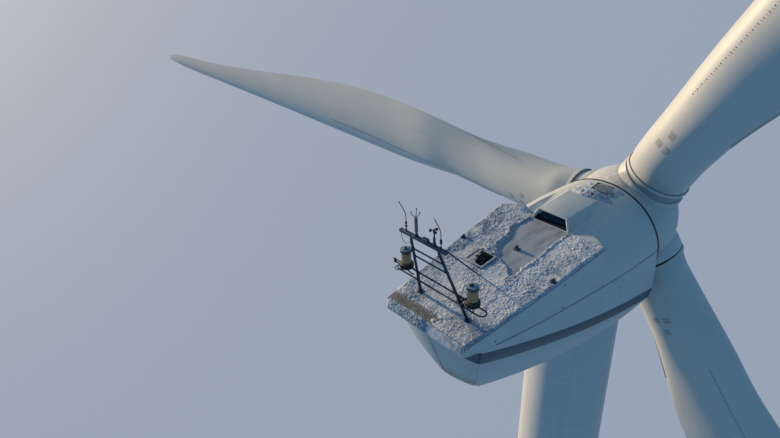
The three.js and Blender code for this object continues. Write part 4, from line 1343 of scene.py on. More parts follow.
@dataclass
class RoofGear:
    """Hatches, lifting lugs and the cooler's duct."""

    housing: Housing
    hatch: Pair = (-0.605, 7.91)
    cowl_hatch: Pair = (0.23, 2.4)
    frame_z: float = 2.347
    mouth: Triples = (
        (-0.71, 5.172, 2.2), (-0.532, 5.005, 2.558), (0.532, 5.005, 2.558), (0.71, 5.172, 2.2))
    rim_widths: tuple[float, ...] = (0.024, 0.012, 0.03, 0.016)
    fin_count: int = 46
    duct_screws: Triples = (
        (3.4, 0.53, 2.397), (3.9, 0.53, 2.45), (4.4, 0.525, 2.503), (4.9, 0.52, 2.556))
    lugs: Pairs = ((-0.03, 6.83), (-1.74, 7.42), (1.74, 7.43))
    bow_radius: float = 0.034

    def dress_gear(self) -> None:
        """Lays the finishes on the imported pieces."""
        dress("hatch_curb", CURB_PAINT, edge=0.01)
        dress("hatch_lid", HATCH_PANE, edge=0.008)
        dress("cowl_hatch", TREAD, edge=0.008)
        for name in ("middle", "left", "right"):
            dress(f"lifting_lug_{name}", PIPE, edge=0.006)
        dress("cooler_duct", DUCT_PAINT, edge=0.014, crease=24)
        dress("duct_louvre", PIPE, edge=0.003)

    def lining_loop(self, foot: Triple, top: Triple) -> list[Vector]:
        """Gives the four corners of the lining at one depth.

        Args:
            foot: right, back and up of the lower right corner.
            top: right, back and up of the upper right corner.

        Returns:
            The corners as model points.
        """
        half, back, up = foot
        narrow, front, high = top
        return [at(-half, back, up), at(-narrow, front, high), at(narrow, front, high), at(half, back, up)]

    def build_duct_mouth(self) -> None:
        """Adds the rim of the duct's mouth, and its lining in a near-black teal that is painted shade inside
        the mouth.
        """
        rim = Shape()
        for (start, end), width in zip(pairs(self.mouth), self.rim_widths):
            rim.pipe([at(*start), at(*end)], width)
        rim.make("duct_mouth_rim", EDGE_ICE)
        outer = [self.lining_loop((0.497, 4.27, 2.212), (0.461, 4.27, 2.436)),
                 self.lining_loop((0.612, 5.16, 2.218), (0.488, 4.99, 2.512))]
        inner = [self.lining_loop((0.604, 5.16, 2.226), (0.48, 4.99, 2.504)),
                 self.lining_loop((0.489, 4.27, 2.22), (0.453, 4.27, 2.428))]
        Shape().rings([*outer, *inner, outer[0]], caps=False).make("duct_lining_shade", DUCT_SHADE_LINING)

    def build_cooler(self) -> None:
        """Adds the cooler's fins and tubes, the slats before them and the screws on the duct's top."""
        fins = Shape()
        for run in range(self.fin_count):
            right = -0.44 + run * 0.88 / (self.fin_count - 1)
            fins.slab(MACHINE, (-right, 4.32, 2.32), (0.006, 0.04, 0.18), 0.001)
        for step in range(5):
            up = 2.25 + step * 0.035
            fins.pipe([at(-0.45, 4.34, up), at(0.45, 4.34, up)], 0.005, 8)
        fins.make("cooler_fins", PIPE)
        slats = Shape()
        for step in range(5):
            place = shifted(0, 4.93 - step * 0.07, 2.265 + step * 0.05)
            wide = mix(0.56, 0.475, step / 4) * 2
            place = place @ Matrix.Rotation(math.radians(-24), 4, "X")
            slats.slab(place, (0, 0, 0), (wide, 0.085, 0.008), 0.002)
        slats.make("duct_mouth_slats", PIPE)
        screws = Shape()
        for back, half, top in self.duct_screws:
            for right in (0.03 - half, half - 0.03):
                screws.lathe(shifted(right, back, top), [(0.011, -0.01), (0.011, 0.004), (0.007, 0.007)], 10)
        screws.make("duct_screws", PIPE)

    def build_hatch_parts(self) -> None:
        """Adds the hinges of the roof hatch, and the clamps, knob and frame of the cowl hatch."""
        right, back = self.hatch
        foot = self.housing.roof_height(back)
        metal = Shape()
        for shift in (-0.2, 0.2):
            metal.slab(MACHINE, (-right - shift, back - 0.355, foot + 0.088), (0.09, 0.07, 0.02))
            pin = [at(right + shift + end, back - 0.365, foot + 0.09) for end in (-0.06, 0.06)]
            metal.pipe(pin, 0.014)
        metal.make("hatch_hinges", PIPE)
        x, y = self.cowl_hatch
        clamps = Shape()
        for side in (-1, 1):
            for end in (-1, 1):
                place = (-(x + side * 0.285), y + end * 0.195, 2.345)
                clamps.slab(MACHINE, place, (0.07, 0.06, 0.035), 0.008)
        knob = shifted(-0.18, 3.0, self.housing.dome_height(0.18, 3.0))
        clamps.lathe(knob, [(0.05, -0.02), (0.05, 0.03), (0.035, 0.05), (0.035, 0.08), (0.02, 0.095)], 16)
        clamps.make("cowl_hatch_clamps", RUBBER)
        rim = Shape()
        for (ax, ay), (bx, by) in pairs(((-0.31, -0.22), (0.31, -0.22), (0.31, 0.22), (-0.31, 0.22))):
            rim.pipe([at(x + ax, y + ay, self.frame_z), at(x + bx, y + by, self.frame_z)], 0.012, 8)
        for step in range(1, 8):
            across = x - 0.31 + step * 0.62 / 8
            rim.pipe([at(across, y - 0.21, self.frame_z), at(across, y + 0.21, self.frame_z)], 0.005, 6)
        rim.make("cowl_hatch_frame", TREAD)

    def build_lug_eyes(self) -> None:
        """Adds a shackle through each lifting lug."""
        shape = Shape()
        for right, back in self.lugs:
            up = self.housing.roof_height(back) + 0.105
            bow = [at(right + self.bow_radius * math.cos(a), back, up + 0.02 + self.bow_radius * math.sin(a))
                   for a in angles(12, 20, -20)]
            shape.pipe(bow, 0.01, 8)
            shape.pipe([at(right - 0.05, back, up + 0.008), at(right + 0.05, back, up + 0.008)], 0.01, 8)
        shape.make("lug_shackles", PIPE)

    def build(self) -> None:
        """Dresses and adds the gear on the roof."""
        self.dress_gear()
        self.build_duct_mouth()
        self.build_cooler()
        self.build_hatch_parts()
        self.build_lug_eyes()


@dataclass
class Mast:
    """The sensor mast: pipes, the beam, its rods and sensors, cables and clips."""

    housing: Housing
    foot_half: float = 0.926
    foot_y: float = 10.172
    foot_z: float = 2.109
    top_half: float = 0.498
    top_y: float = 10.645
    top_z: float = 4.625
    beam_y: float = 10.635
    sensor_z: float = 4.7
    rail_y: float = 10.29
    rail_z: float = 2.88
    rail_half: float = 0.125
    rail_reach: float = 1.535
    rungs: tuple[tuple[float, str], ...] = ((4.16, "upper"), (3.86, "lower"))
    leg_radius: float = 0.031
    rung_radius: float = 0.023
    stay_foot: Pair = (-0.06, 8.54)
    stay_top: Triple = (0.765, 10.567, 4.67)
    rods: tuple[tuple[float, Pair], ...] = ((-0.68, (0.19, 0.29)), (0.59, (0.21, 0.28)))
    sensor_x: float = -0.29
    cup_x: float = 0.36
    clutter: tuple[tuple[Triple, Triple], ...] = (
        ((0.66, 10.2, 2.93), (0.72, 10.33, 2.99)), ((0.74, 10.4, 2.9), (0.9, 10.36, 2.96)),
        ((0.86, 10.18, 2.9), (1.02, 10.24, 2.99)), ((0.92, 10.42, 2.86), (1.05, 10.42, 2.95)),
        ((1.0, 10.15, 2.84), (1.12, 10.2, 2.9)))

    def leg(self, side: int, up: float) -> Vector:
        """Point on a leg's axis at a height."""
        share = (up - self.foot_z) / (self.top_z - self.foot_z)
        return at(side * mix(self.foot_half, self.top_half, share), mix(self.foot_y, self.top_y, share), up)

    def above(self, x: float, right: float, rear: float, height: float) -> Vector:
        """Point straight above the beam."""
        return upright((x, self.beam_y, self.sensor_z), right, rear, height)

    def post(self, shape: Shape, x: float, low: float, high: float, radius: float, sides: int) -> None:
        """Adds an upright pipe over the beam."""
        shape.pipe([self.above(x, 0, 0, low), self.above(x, 0, 0, high)], radius, sides)

    def dress_pipes(self) -> None:
        """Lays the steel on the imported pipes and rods."""
        for name in ("lightning_rod_left", "lightning_rod_right"):
            dress(name, PIPE)
        dress("mast_beam", PIPE, edge=0.008)

    def build_pipes(self) -> None:
        """Makes the legs, rungs, rail loop and stay as smooth pipes in place of the faceted ones."""
        for side, name in ((-1, "left"), (1, "right")):
            ends = [self.leg(side, self.foot_z + 0.03), self.leg(side, self.top_z + 0.004)]
            leg = Shape().pipe(ends, self.leg_radius, 20)
            pad = (-side * self.foot_half, self.foot_y, self.foot_z + 0.026)
            leg.slab(MACHINE, pad, (0.2, 0.24, 0.045), 0.012)
            leg.make(f"mast_leg_pipe_{name}", PIPE, replaced=f"mast_leg_{name}")
        for up, name in self.rungs:
            rung = Shape().pipe([self.leg(-1, up), self.leg(1, up)], self.rung_radius, 16)
            rung.make(f"mast_rung_pipe_{name}", PIPE, replaced=f"mast_rung_{name}")
        path = [at(side * (self.rail_reach + self.rail_half * math.cos(turn)),
                   self.rail_y + side * self.rail_half * math.sin(turn), self.rail_z)
                for side in (1, -1) for turn in angles(13, 15, -90)]
        rails = Shape().pipe([*path, path[0], path[1]], self.rung_radius, 16)
        rails.make("mast_rails", PIPE, replaced="mast_rail_loop")
        right, back = self.stay_foot
        roof = self.housing.roof_height(back)
        stay = Shape().pipe([at(right, back, roof + 0.03), at(*self.stay_top)], 0.022, 16)
        stay.slab(MACHINE, (-right, back, roof + 0.018), (0.12, 0.14, 0.03), 0.008)
        stay.make("mast_stay_pipe", PIPE, replaced="mast_stay")

    def build_collars(self) -> None:
        """Adds the welded collars where rungs meet legs, the foot bolts and the bolts under the beam."""
        shape = Shape()
        for side in (-1, 1):
            for up in (*(up for up, _ in self.rungs), self.rail_z):
                shape.pipe([self.leg(side, up - 0.03), self.leg(side, up + 0.03)], 0.038, 12)
            for dx in (-0.06, 0.06):
                for dy in (-0.07, 0.07):
                    space = shifted(-side * self.foot_half + dx, self.foot_y + dy, self.foot_z + 0.045)
                    shape.lathe(space, [(0.016, -0.01), (0.016, 0.016), (0.009, 0.02)], 6)
            shape.pipe([self.leg(side, self.foot_z + 0.05), self.leg(side, self.foot_z + 0.13)], 0.042, 12)
        for run in range(9):
            right = -0.85 + run * 0.19
            shape.pipe([at(right, self.beam_y, 4.63), at(right, self.beam_y, 4.618)], 0.014, 6)
        shape.make("mast_collars", PIPE)

    def build_beam_parts(self) -> None:
        """Adds the tray lips of the beam, the clamps of each rod and the lid of the terminal box."""
        tray = Shape()
        for edge in (-0.046, 0.046):
            tray.slab(MACHINE, (0.065, self.beam_y + edge, 4.716), (1.7, 0.006, 0.03), 0.002)
        tray.slab(MACHINE, (-0.05, self.beam_y, 4.801), (0.21, 0.11, 0.012), 0.004)
        for right in (-0.86, 0.74):
            tray.slab(MACHINE, (-right, self.beam_y, 4.68), (0.012, 0.1, 0.1), 0.004)
        tray.make("beam_tray", PIPE)
        dark = Shape()
        for x, heights in self.rods:
            for height in heights:
                self.post(dark, x, height - 0.024, height + 0.024, 0.03, 12)
                dark.pipe([self.above(x, 0, 0, height), self.above(x, 0.055, 0.01, height)], 0.014, 8)
            self.post(dark, x, 0.03, 0.1, 0.024, 12)
        for x in (self.sensor_x, self.cup_x):
            self.post(dark, x, 0.03, 0.09, 0.05, 14)
        dark.make("rod_clamps", RUBBER)

    def build_wind_sensor(self) -> None:
        """Makes the ultrasonic sensor, a post with three thin curved arms, and the stand of the cups."""
        x = self.sensor_x
        body = Shape()
        self.post(body, x, -0.01, 0.2, 0.03, 20)
        body.pipe([self.above(x, 0, 0, height) for height in (0.17, 0.185, 0.56)], 0.044, 20)
        self.post(body, x, 0.555, 0.62, 0.036, 20)
        for turn in angles(3, 120, 113):
            arm = []
            for step, bend in enumerate(angles(9, 14, -20)):
                reach = 0.03 + 0.1 * math.sin(max(0.0, bend)) if step else 0.0
                arm.append(self.above(x, reach * math.cos(turn), reach * math.sin(turn), 0.6 + 0.021 * step))
            body.pipe(arm, 0.011, 8)
            out = Vector((math.cos(turn), math.sin(turn), 0)) * 0.128
            tip = [self.above(x, out.x, out.y, 0.755), self.above(x, out.x * 0.96, out.y * 0.96, 0.8)]
            body.pipe(tip, 0.016)
        body.make("wind_sensor", SENSOR_GREY, replaced="ultrasonic_sensor")
        stand = Shape()
        self.post(stand, self.cup_x, -0.01, 0.26, 0.034, 20)
        self.post(stand, self.cup_x, 0.25, 0.41, 0.02, 16)
        stand.make("cup_stand", PIPE, replaced="cup_post")

    def cable(self, shape: Shape, points: Sequence[Vector], radius: float) -> None:
        """Runs a cable smoothly through its points.

        Args:
            shape: the shape that it is added to.
            points: model points that it passes.
            radius: its radius in full-size metres.
        """
        path: list[Vector] = []
        full = [points[0], *points, points[-1]]
        for a, b, c, d in zip(full, full[1:], full[2:], full[3:]):
            for step in range(8):
                t = step / 8
                path.append(0.5 * ((2 * b) + (c - a) * t + (2 * a - 5 * b + 4 * c - d) * t * t
                                   + (3 * b - a - 3 * c + d) * t ** 3))
        path.append(points[-1])
        shape.pipe(path, radius, 8)

    def build_cables(self) -> None:
        """Adds the cables along the legs and rails, the drip loop and the clutter by the right lamp."""
        shape = Shape()
        for side in (-1, 1):
            lamp = side * 1.26
            ride = Vector((0, 0.0045, 0))
            self.cable(shape, [self.leg(side, up) + ride for up in (4.58, 4.2, 3.8, 3.4, 3.0, 2.93)], 0.011)
            lead = [at(lamp * 0.86, self.rail_y - 0.1, 2.93), at(lamp * 0.8, self.rail_y - 0.13, 2.9),
                    at(lamp * 0.68, self.rail_y - 0.1, 2.915)]
            self.cable(shape, lead + [self.leg(side, up) + ride for up in (2.86, 2.6, 2.2)], 0.02)
        drip = [at(-0.9, 10.60, 4.66), at(-0.93, 10.61, 4.5), at(-0.9, 10.62, 4.36), at(-0.8, 10.62, 4.28),
                at(-0.68, 10.62, 4.33), at(-0.56, 10.63, 4.42), self.leg(-1, 4.5) + Vector((0, 0.003, 0))]
        self.cable(shape, drip, 0.008)
        for dy in (-self.rail_half, self.rail_half):
            stops = ((-1.5, 2.91), (-0.6, 2.906), (0.5, 2.906), (1.05, 2.91))
            self.cable(shape, [at(right, self.rail_y + dy, up) for right, up in stops], 0.009)
        for (ax, ay, az), (bx, by, bz) in self.clutter:
            middle = at((ax + bx) / 2, (ay + by) / 2 + 0.02, max(az, bz) + 0.035)
            self.cable(shape, [at(ax, ay, az), middle, at(bx, by, bz)], 0.016)
        shape.make("mast_cables", CABLE)
        clips = Shape()
        for right in (-1.0, -0.4, 0.1, 0.62, 0.98):
            for dy in (-self.rail_half, self.rail_half):
                clips.slab(MACHINE, (-right, self.rail_y + dy, 2.888), (0.03, 0.052, 0.05), 0.008)
        for x, y, z, size in ((0.74, 10.24, 2.95, 0.1), (0.84, 10.34, 2.92, 0.12), (0.95, 10.24, 2.9, 0.09)):
            clips.slab(MACHINE, (-x, y, z), (size, size * 0.8, size * 0.7), 0.014)
        clips.make("cable_clips", RUBBER)

    def build(self) -> None:
        """Dresses and completes the mast."""
        self.dress_pipes()
        self.build_pipes()
        self.build_collars()
        self.build_beam_parts()
        self.build_wind_sensor()
        self.build_cables()


@dataclass
class CupWheel:
    """The small turning wind cups, hollow as the real ones are."""

    x: float = 0.36
    beam_y: float = 10.635
    base_z: float = 4.7
    height: float = 0.47
    arm: float = 0.096
    cup: float = 0.042

    def build(self) -> None:
        """Makes the hub, arms and cups, and stands them in for the solid ones."""
        shape = Shape()
        base = (self.x, self.beam_y, self.base_z)
        foot = upright(base, 0, 0, self.height)
        up = Matrix.Translation(foot) @ WORLD
        shape.lathe(up, [(0.03, -0.052), (0.03, 0.03), (0.024, 0.046), (0.01, 0.052)], 20)
        for turn in angles(3, 120, 20):
            out = Vector((-math.cos(turn), math.sin(turn), 0))
            side = Vector((math.sin(turn), math.cos(turn), 0))
            shape.pipe([foot + out * 0.02 * SCALE, foot + out * (self.arm - 0.02) * SCALE], 0.007, 8)
            centre = foot + out * self.arm * SCALE
            cup_frame = Matrix((
                (out.x, 0, side.x, centre.x), (out.y, 0, side.y, centre.y), (out.z, 1, side.z, centre.z),
                (0, 0, 0, 1))) @ WORLD
            outer = [(self.cup * math.cos(a), 0.03 - self.cup * 1.45 * math.sin(a)) for a in angles(8, 11.0)]
            inner = [(radius * 0.86, depth * 0.86 + 0.004) for radius, depth in reversed(outer)]
            shape.lathe(cup_frame, [*reversed(outer), *reversed(inner)], 20)
        shape.make("wind_cups", RUBBER, "cups", "cup_rotor")


@dataclass
class Lamp:
    """One of the two roof lamps: flanged base, ribbed body and iced cap."""

    side: int
    name: str
    x: float = 1.26
    y: float = 10.32
    z: float = 3.07
    lens_low: float = 0.13
    lens_high: float = 0.47
    ribs: int = 7
    rib_profile: Pairs = ((0.0, 0.137), (0.22, 0.144), (0.5, 0.1465), (0.78, 0.144), (1.0, 0.137))
    cap_profile: Pairs = (
        (0.0, 0.482), (0.15, 0.482), (0.166, 0.49), (0.172, 0.5), (0.172, 0.565), (0.166, 0.58),
        (0.14, 0.588), (0.05, 0.592), (0.0, 0.592))
    base_profile: Pairs = (
        (0.0, -0.1), (0.11, -0.1), (0.11, -0.045), (0.17, -0.04), (0.2, -0.03), (0.21, -0.01),
        (0.21, 0.015), (0.18, 0.022), (0.18, 0.06), (0.208, 0.07), (0.208, 0.095), (0.19, 0.108),
        (0.165, 0.124), (0.0, 0.124))
    bolt_circle: float = 0.192
    left_knobs: Triples = ((-0.02, 0.03, 0.05), (0.03, -0.02, 0.034))
    right_knobs: Triples = ((0.02, 0.0, 0.045), (0.05, 0.05, 0.03))

    def space(self) -> Matrix:
        """The lamp's own upright frame."""
        return Matrix.Translation(at(self.side * self.x, self.y, self.z)) @ WORLD

    def build_body(self) -> None:
        """Makes the ribbed lens in place of the plain drum."""
        profile = [(0.0, self.lens_low - 0.002)]
        step = (self.lens_high - self.lens_low) / self.ribs
        for rib in range(self.ribs):
            start = mix(self.lens_low, self.lens_high, rib / self.ribs)
            profile.extend((radius, start + step * share * 0.98) for share, radius in self.rib_profile)
        profile.append((0.0, self.lens_high + 0.004))
        lens = Shape().lathe(self.space(), profile, 48)
        lens.make(f"lamp_{self.name}_lens", LAMP_GLASS, replaced=f"light_{self.name}_lens",
                  space=self.space(), suffix=f"_{self.name}")

    def build_cap(self) -> None:
        """Makes the cap with its drip edge, the dark band below it and the knobs on top."""
        cap = Shape().lathe(self.space(), self.cap_profile, 48)
        cap.make(f"lamp_{self.name}_cap", CAP_ICE, replaced=f"light_{self.name}_cap")
        band = [(0.14, 0.474), (0.158, 0.474), (0.158, 0.5), (0.14, 0.5), (0.14, 0.474)]
        dark = Shape().lathe(self.space(), band)
        for x, y, radius in self.left_knobs if self.side < 0 else self.right_knobs:
            place = self.space() @ Matrix.Translation((x, y, 0.585))
            knob = [(radius, -0.01), (radius, 0.025), (radius * 0.6, 0.05), (radius * 0.2, 0.056)]
            dark.lathe(place, knob, 14)
        dark.make(f"lamp_{self.name}_fittings", RUBBER)

    def build_base(self) -> None:
        """Makes the black base with its flange and bolts."""
        shape = Shape().lathe(self.space(), self.base_profile, 48)
        for x, y in circle(12, self.bolt_circle):
            place = self.space() @ Matrix.Translation((x, y, 0.04))
            shape.lathe(place, [(0.016, -0.06), (0.016, 0.06), (0.01, 0.066)], 6)
        shape.make(f"lamp_{self.name}_base", RUBBER, replaced=f"light_{self.name}_base")

    def arm(self, shape: Shape, radius: float, sides: int, *spots: Triple) -> None:
        """Adds a bent pipe.

        Args:
            shape: the shape that it is added to.
            radius: its radius in full-size metres.
            sides: corners of its cross-section.
            *spots: distances outwards, to the rear and up from the lamp's middle.
        """
        hub = (self.side * self.x, self.y, self.z)
        path = [upright(hub, out * self.side, rear, height) for out, rear, height in spots]
        shape.pipe(path, radius, sides)

    def build_brackets(self) -> None:
        """Adds the arms, plugs and cable loops round the base."""
        shape = Shape()
        self.arm(shape, 0.02, 10, (-0.14, 0.08, -0.04), (-0.27, 0.1, -0.08), (-0.34, 0.02, -0.14))
        self.arm(shape, 0.014, 10, (-0.1, -0.12, -0.06), (-0.24, -0.12, -0.1), (-0.4, -0.04, -0.13))
        if self.side < 0:
            self.arm(shape, 0.022, 10, (0.15, 0.02, -0.03), (0.3, 0.08, 0.0), (0.38, 0.1, 0.02))
            self.arm(shape, 0.04, 14, (0.38, 0.1, 0.0), (0.38, 0.1, 0.12))
            self.arm(shape, 0.018, 10, (0.17, -0.06, -0.05), (0.4, -0.02, -0.02), (0.55, 0.02, 0.02))
            loop = [(0.3 + 0.15 * math.cos(a), 0.15 * math.sin(a), -0.2 - 0.03 * math.cos(a))
                    for a in angles(26, 15)]
            self.arm(shape, 0.015, 8, *loop)
        else:
            self.arm(shape, 0.016, 10, (0.12, 0.13, -0.05), (0.2, 0.17, -0.1), (0.1, 0.19, -0.15))
        shape.make(f"lamp_{self.name}_brackets", CABLE)

    def build(self) -> None:
        """Makes the whole lamp."""
        self.build_base()
        self.build_body()
        self.build_cap()
        self.build_brackets()


@dataclass(frozen=True)
class Section:
    """One cross-section of a blade."""

    span: float
    chord: float
    thick: float
    twist: float
    ahead: float
    behind: float = 0.0


SECTIONS = tuple(Section(*measures) for measures in (
    (2.35, 2.27, 1.0, 14.6, 0.5, 0.05), (2.8, 2.29, 1.0, 14.6, 0.5, 0.22),
    (3.5, 2.3, 1.0, 14.0, 0.497, 0.25), (5.0, 2.46, 0.9, 12.4, 0.453, 0.23),
    (7.0, 2.89, 0.66, 11.2, 0.377, 0.215), (9.0, 3.33, 0.47, 11.3, 0.307, 0.21),
    (11.0, 3.76, 0.418, 10.1, 0.3, 0.22), (14.0, 4.07, 0.336, 6.8, 0.331, 0.15),
    (18.0, 3.98, 0.302, 3.4, 0.321, 0.11), (24.0, 3.5, 0.265, 1.0, 0.324, 0.125),
    (32.0, 2.66, 0.242, 0.0, 0.328, 0.2), (42.0, 1.81, 0.215, -0.4, 0.322, 0.32),
    (52.0, 1.32, 0.192, -0.6, 0.298, 0.3), (56.4, 0.79, 0.181, -0.7, 0.303, 0.2),
    (58.0, 0.28, 0.17, -0.75, 0.35, 0.11)))


@dataclass
class Blade:
    """One blade with its root rings, worn squares, row of fins and trailing edge strip."""

    index: int
    squares: Pairs
    around: int = 72
    stations: int = 110
    first_fin: float = 5.8
    last_fin: float = 21.5
    fin_gap: float = 0.1
    fin_half: float = 0.035
    fin_height: float = 0.03
    fin_turn: float = 0.27
    seal: float = 0.022
    strip_span: Pair = (4.9, 7.6)
    root: Pairs = (
        (0.92, 1.25), (0.92, 1.76), (1.135, 1.765), (1.135, 2.118), (1.18, 2.12), (1.2, 2.138), (1.2, 2.236),
        (1.188, 2.25), (1.16, 2.252), (1.145, 2.262))
    fin_line: Pairs = (
        (5.6, 0.64), (7.3, 0.52), (9.0, 0.37), (11.6, 0.32), (14.0, 0.27), (17.0, 0.12), (22.0, 0.1))

    @property
    def body(self) -> str:
        """The body that the blade turns with."""
        return f"blade_{self.index + 1}"

    def finish_piece(self, shape: Shape, name: str, finish: Finish, kind: str = "") -> None:
        """Makes a piece of this blade, with its finish in the blade's own frame."""
        number = f"_{self.index + 1}"
        shape.make(name + number, finish, self.body, space=blade_frame(self.index), suffix=kind + number)

    def section(self, span: float) -> Section:
        """Gives the cross-section at a distance from the hub, eased between the listed ones.

        Args:
            span: the distance from the hub.

        Returns:
            The cross-section.
        """
        found = 0
        while found < len(SECTIONS) - 2 and span > SECTIONS[found + 1].span:
            found += 1
        before = SECTIONS[max(found - 1, 0)]
        first, second = SECTIONS[found], SECTIONS[found + 1]
        after = SECTIONS[min(found + 2, len(SECTIONS) - 1)]
        gap = second.span - first.span
        t = min(1.0, max(0.0, (span - first.span) / gap))

        def eased(key: str) -> float:
            """Eases one measure.

            Args:
                key: its name in the listed sections.

            Returns:
                Its value at the span.
            """
            p0, p1, p2, p3 = (getattr(item, key) for item in (before, first, second, after))
            low = (p2 - p0) / max(second.span - before.span, 1e-6) * gap
            high = (p3 - p1) / max(after.span - first.span, 1e-6) * gap
            return ((2 * t ** 3 - 3 * t * t + 1) * p1 + (t ** 3 - 2 * t * t + t) * low
                    + (3 * t * t - 2 * t ** 3) * p2 + (t ** 3 - t * t) * high)
        thick = min(1.0, eased("thick"))
        return Section(span, eased("chord"), thick, eased("twist"), eased("ahead"), eased("behind"))

    def outline(self, section: Section) -> list[Vector]:
        """Draws one cross-section.

        Args:
            section: its measures.

        Returns:
            The closed ring in the blade's frame.
        """
        blunt = smooth(section.thick, 0.4, 1.0)
        turn = math.radians(-(section.twist + REST_PITCH))
        ring = []
        for i in range(self.around):
            angle = i / self.around * math.tau
            along = (1 - math.cos(angle)) / 2
            curve = (0.2969 * math.sqrt(along) - 0.126 * along - 0.3516 * along ** 2 + 0.2843 * along ** 3
                     - 0.1016 * along ** 4)
            foil = 5 * section.thick * section.chord * curve
            camber = 0.03 * section.chord * math.sin(math.pi * along) * (1 - blunt)
            x = section.chord * (section.ahead - along)
            flat = math.copysign(1, math.sin(angle)) * foil + camber
            y = mix(flat, math.sin(angle) * section.chord * section.thick / 2, blunt)
            ring.append(Vector((x * math.cos(turn) - y * math.sin(turn),
                                x * math.sin(turn) + y * math.cos(turn) + section.behind, section.span)))
        return ring

    def build_shell(self) -> None:
        """Makes the blade with finer sections than the solid, and stands it in for it."""
        space = blade_frame(self.index)
        round_part = SECTIONS[0]
        rings = [self.outline(Section(span, 2 * radius, 1.0, round_part.twist, 0.5))
                 for radius, span in self.root]
        first, last = round_part.span, SECTIONS[-1].span
        for step in range(self.stations + 1):
            span = first + (last - first) * (step / self.stations) ** 1.5
            rings.append(self.outline(self.section(span)))
        shape = Shape().rings([[space @ point for point in ring] for ring in rings])
        coat = BladeGelcoat(f"blade_gelcoat_{self.index + 1}", squares=self.squares)
        shape.make(f"blade_shell_{self.index + 1}", coat, self.body, self.body, space, crease=38)

    def rear_point(self, x: float, span: float) -> tuple[Vector, Vector]:
        """Finds a place on the blade's rear side.

        Args:
            x: its place along the chord.
            span: its distance from the hub.

        Returns:
            The point and the outward direction there.
        """
        ring = self.outline(self.section(span))
        found: list[tuple[Vector, Vector]] = []
        for first, second in pairs(ring):
            low, high = sorted((first.x, second.x))
            if low <= x <= high and high > low:
                edge = second - first
                out = Vector((edge.y, -edge.x, 0)).normalized()
                share = (x - first.x) / (second.x - first.x)
                found.append((first.lerp(second, share), out if out.y > 0 else -out))
        return max(found, key=lambda place: place[0].y)

    def build_fins(self) -> None:
        """Adds the row of small fins, turned left and right by turns, along the rear side."""
        space = blade_frame(self.index)
        shape = Shape()
        for step in range(int((self.last_fin - self.first_fin) / self.fin_gap)):
            span = self.first_fin + step * self.fin_gap
            for (low, start), (high, end) in zip(self.fin_line, self.fin_line[1:]):
                if low <= span <= high:
                    line = mix(start, end, (span - low) / (high - low))
            point, out = self.rear_point(line, span)
            heading = Vector((1, 0, self.fin_turn * (-1) ** step)).normalized()
            heading = (heading - out * heading.dot(out)).normalized()
            across = heading.cross(out) * 0.007
            tail, tip = point - heading * self.fin_half, point + heading * self.fin_half
            base = [tail + across, tail - across, tip - across, tip + across]
            rise = out * self.fin_height
            crown = [tail + rise + across * 0.6, tail + rise - across * 0.6]
            sunk = [corner - out * 0.008 for corner in base]
            shape.add([space @ corner for corner in [*sunk, *crown]],
                      [(3, 2, 1, 0), (0, 1, 5, 4), (1, 2, 5), (3, 0, 4), (2, 3, 4, 5)])
        self.finish_piece(shape, "blade_fins", FIN_PLASTIC)

    def build_edge_strip(self) -> None:
        """Adds the thin plate along the trailing edge."""
        space = blade_frame(self.index)
        out = Vector((0, 0.014, 0))
        rings = []
        for step in range(60):
            ring = self.outline(self.section(mix(*self.strip_span, step / 59)))
            tail = ring[self.around // 2]
            along = (tail - ring[0]).normalized()
            inner, outer = tail - along * 0.03, tail + along * 0.05
            rings.append([space @ corner for corner in (inner + out, outer + out, outer - out, inner - out)])
        self.finish_piece(Shape().rings(rings), "blade_strip", STRIP_COAT)

    def build_root_seal(self) -> None:
        """Adds the sleeve in the collar, the black seal under the root ring and the thin joint above it."""
        space = blade_frame(self.index)
        low = 2.125 - self.seal
        seal = [(1.12, low), (1.165, low + 0.002), (1.178, low + 0.01), (1.178, 2.124), (1.12, 2.13),
                (1.12, low)]
        joint = [(1.14, 2.246), (1.165, 2.252), (1.165, 2.26), (1.14, 2.266), (1.14, 2.246)]
        rubber = Shape().lathe(space, seal, 96).lathe(space, joint, 96)
        self.finish_piece(rubber, "root_seal", RUBBER, "_seal")
        sleeve = [(1.12, 1.78), (1.142, 1.785), (1.142, 2.088), (1.12, 2.09), (1.12, 1.78)]
        self.finish_piece(Shape().lathe(space, sleeve, 96), "root_sleeve", SLEEVE)

    def build(self) -> None:
        """Makes the blade and everything on it."""
        self.build_shell()
        self.build_fins()
        self.build_edge_strip()
        self.build_root_seal()


